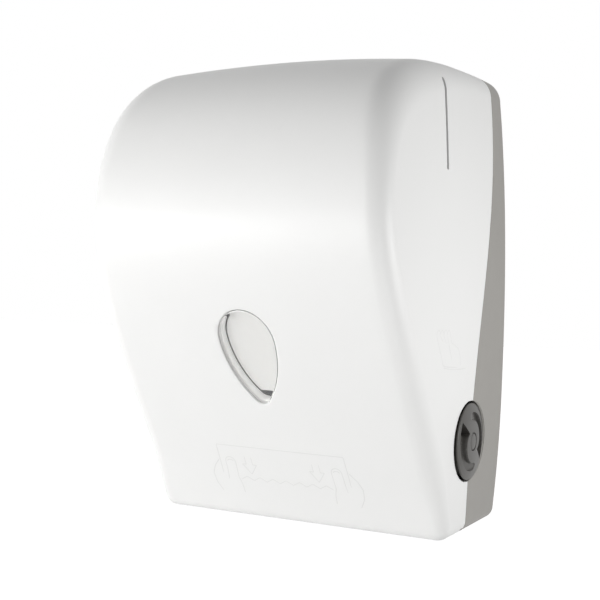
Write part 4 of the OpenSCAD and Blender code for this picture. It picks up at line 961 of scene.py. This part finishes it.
def drive_route():
    """The drive spring from the crank pin up to its anchor, in x, y and z before it is moved."""
    low, high, eye, coil = DRUM_Z + 12.0, 148.0, 2.8, 3.2
    a = np.radians(np.linspace(60, -237, 40))
    first = np.stack([0 * a, -eye * np.cos(a), low + eye * np.sin(a)], 1)
    i = np.linspace(1, 3, 6)
    climb = np.stack([coil * i / 3, 0 * i, low + eye + 1.5 * i], 1)
    b = np.linspace(math.radians(45), 22 * math.pi, 11 * 28)
    turns = np.stack([coil * np.cos(b), coil * np.sin(b), low + eye + 5 + 2.1 * b / (2 * math.pi)], 1)
    j = np.linspace(2, 0, 20)
    leave = np.stack([coil * j / 3, 0 * j, high - eye - 1.5 * j - 2], 1)
    c = np.radians(np.linspace(-90, 207, 40))
    last = np.stack([0 * c, eye * np.cos(c), high + eye * np.sin(c)], 1)
    return eased(np.concatenate([first, climb, turns, leave, last]))


def moved(p, spot, x_from, y_from, z_from):
    """A route turned so that each new coordinate is a signed old one, then moved to its spot."""
    axes = [p[:, abs(k) - 1] * math.copysign(1, k) for k in (x_from, y_from, z_from)]
    return np.stack(axes, 1) + spot


MIRROR, WIRE_R = np.array([-1, 1, 1]), 0.6
KNIFE_PIVOT, KNIFE_X = (18.0, -20.0), -95.1
DRIVE_X, PITCH = -122.1, 1.8
ARM_COIL_AT, PINCH_COIL_AT = (112, -22, 261.3), (97.85, -22, 105)
drive = wire(drive_route() + [DRIVE_X, -DRUM_U, 0], WIRE_R)
arm_route = moved(torsion(4.8, 3, PITCH, 1.5, 1.5), ARM_COIL_AT, 1, 2, 3)
pinch_route = moved(torsion(5.2, 3, PITCH, 1.5, 1.5), PINCH_COIL_AT, 3, 1, 2)
knife_u = DRUM_U + (KNIFE_PIVOT[0] - KNIFE_PIVOT[1]) * math.sqrt(0.5)
knife_z = DRUM_Z + (KNIFE_PIVOT[0] + KNIFE_PIVOT[1]) * math.sqrt(0.5)
knife_route = moved(torsion(4.0, 5, PITCH, 2.2, 6.9), (KNIFE_X, -knife_u, knife_z), 3, 2, -1)
spring_sets = {
    "drive_coil": ("drive_spring", [drive]),
    "arm_coils": ("arm_springs", [wire(arm_route, WIRE_R), wire(arm_route * MIRROR, WIRE_R)]),
    "pinch_coils": ("pinch_springs", [wire(pinch_route, WIRE_R), wire(pinch_route * MIRROR, WIRE_R)]),
    "knife_coil": ("knife_spring", [wire(knife_route, WIRE_R)]),
}
for name, (node, skins) in spring_sets.items():
    coil = make_piece(name, joined(skins), WIRE, sharp=60)
    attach(coil, nodes[node]["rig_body"])
    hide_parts(node)
    lo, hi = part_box(node)
    new = np.array([v.co for v in coil.data.vertices])
    off = np.abs(np.r_[new.min(0) - lo, new.max(0) - hi]).max()
    print(name, "differs from its solid's box by", round(1000 * off, 2), "mm")

# %% [markdown]
# The rest of the mechanism keeps its solids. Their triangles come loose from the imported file, so a Weld
# modifier joins them, and a Bevel modifier gives every hard edge the small radius that a moulding or a
# deburred stamping has. Each piece then takes the finish that suits what it does.

# %% Finishes on the solids
FINISHES = {
    FRAME: "side_frame_left side_frame_right pinch_arm_left pinch_arm_right pinch_bar pinch_roller "
           "arm_brackets drum_end_left drum_end_right",
    CHUTE: "front_guide rear_guide",
    NYLON: "drum_bush_left drum_bush_right cam_plate knife_carrier cam_follower",
    WHITE: "spring_housing roll_arm_left roll_arm_right hub_left hub_right drum_shell",
    RUBBER: "grip_bands pinch_tyres",
    BLADE: "knife_blade",
    CHROME: "lock_housing lock_plug lock_nut",
    STEEL: "hinge_pins tie_rods frame_screws spring_anchor housing_screws lock_keeper arm_pins pinch_pivots "
           "lock_hook lock_screw drum_shaft knob_screw crank_disc crank_pin knife_shaft blade_screws "
           "follower_lever pinch_shaft hub_axle_left hub_axle_right",
}
WELD_M, EDGE_M, EDGE_ANGLE = 0.00002, 0.00025, math.radians(50)
dressed = 0
for material, names in FINISHES.items():
    for name in names.split():
        solid = nodes[name]
        solid.data.materials.clear()
        solid.data.materials.append(material)
        weld = solid.modifiers.new("weld", "WELD")
        weld.merge_threshold = WELD_M
        edge = solid.modifiers.new("soft_edge", "BEVEL")
        edge.width = EDGE_M
        edge.segments = 2
        edge.limit_method = "ANGLE"
        edge.angle_limit = EDGE_ANGLE
        dressed += 1
left_over = [n for n, o in nodes.items() if not o.hide_render and not o.modifiers]
print("solids dressed:", dressed, "left plain:", left_over)

# %% [markdown]
# The studio is a pale floor well below the dispenser, which hangs, and white all round. A broad light
# stands low in front to the left and a smaller one off the right side, so the front and the side are
# bright, and the rounded edge between them and the roof turn soft grey. A weak third one, low in front to
# the right, lifts the lower edge. Rays from the camera, and those in gloss and clear plastic, see plain
# white.

# %% Studio
scene = bpy.context.scene
scene.view_settings.view_transform = "Standard"
FLOOR_Z, FLOOR_HALF, FLOOR_GLOW, SKY_LIGHT = -0.62, 9, 0.75, 0.33


def soft_light(name, spot, size, watts):
    """A square area light of one size that faces the dispenser."""
    lamp = bpy.data.lights.new(name, "AREA")
    lamp.size = size
    lamp.energy = watts
    obj = bpy.data.objects.new(name, lamp)
    scene.collection.objects.link(obj)
    obj.location = spot
    obj.rotation_euler = (AIM - Vector(spot)).to_track_quat("-Z", "Y").to_euler()
    return obj


soft_light("front_left", (-1.15, -1.65, -0.3), 1.1, 32)
soft_light("right_side", (0.58, -0.135, 0.0), 0.25, 1.29)
soft_light("low_fill", (0.45, -0.6, -0.45), 0.3, 0.35)


def white_for_sight(tree, low):
    """A strength of 1 for rays of sight, gloss and clear plastic, and a lower one for light."""
    path = tree.nodes.new("ShaderNodeLightPath")
    add = tree.nodes.new("ShaderNodeMath")
    tree.links.new(path.outputs["Is Camera Ray"], add.inputs[0])
    tree.links.new(path.outputs["Is Glossy Ray"], add.inputs[1])
    both = tree.nodes.new("ShaderNodeMath")
    both.use_clamp = True
    tree.links.new(add.outputs[0], both.inputs[0])
    tree.links.new(path.outputs["Is Transmission Ray"], both.inputs[1])
    strength = tree.nodes.new("ShaderNodeMapRange")
    strength.inputs["To Min"].default_value = low
    strength.inputs["To Max"].default_value = 1.0
    tree.links.new(both.outputs[0], strength.inputs["Value"])
    return strength.outputs["Result"]


world = bpy.data.worlds.new("studio_white")
scene.world = world
world.use_nodes = True
sky = world.node_tree.nodes["Background"]
sky.inputs["Color"].default_value = (1, 1, 1, 1)
world.node_tree.links.new(white_for_sight(world.node_tree, SKY_LIGHT), sky.inputs["Strength"])

floor_mat = bpy.data.materials.new("studio_floor")
floor_mat.use_nodes = True
floor_tree = floor_mat.node_tree
floor_shader = floor_tree.nodes["Principled BSDF"]
floor_shader.inputs["Base Color"].default_value = (0.85, 0.85, 0.85, 1)
floor_shader.inputs["Roughness"].default_value = 0.9
floor_shader.inputs["Emission Color"].default_value = (1, 1, 1, 1)
glow = white_for_sight(floor_tree, 0.0)
dimmed = floor_tree.nodes.new("ShaderNodeMath")
dimmed.operation = "MULTIPLY"
dimmed.inputs[1].default_value = FLOOR_GLOW
floor_tree.links.new(glow, dimmed.inputs[0])
floor_tree.links.new(dimmed.outputs[0], floor_shader.inputs["Emission Strength"])
corners = np.array([[-1, -1], [1, -1], [1, 1], [-1, 1]], float) * FLOOR_HALF
corners = np.c_[corners, np.full(4, FLOOR_Z)]
floor = make_piece("studio_floor", (corners, [np.array([[0, 1, 2, 3]])]), floor_mat)
floor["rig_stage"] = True
print("studio: three lights, a white surround and a pale floor")

# %% [markdown]
# The dressed model should stand in the imported one's box. Here the dressed model's box is worked out.

# %% Sizes and the end
lo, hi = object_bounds()
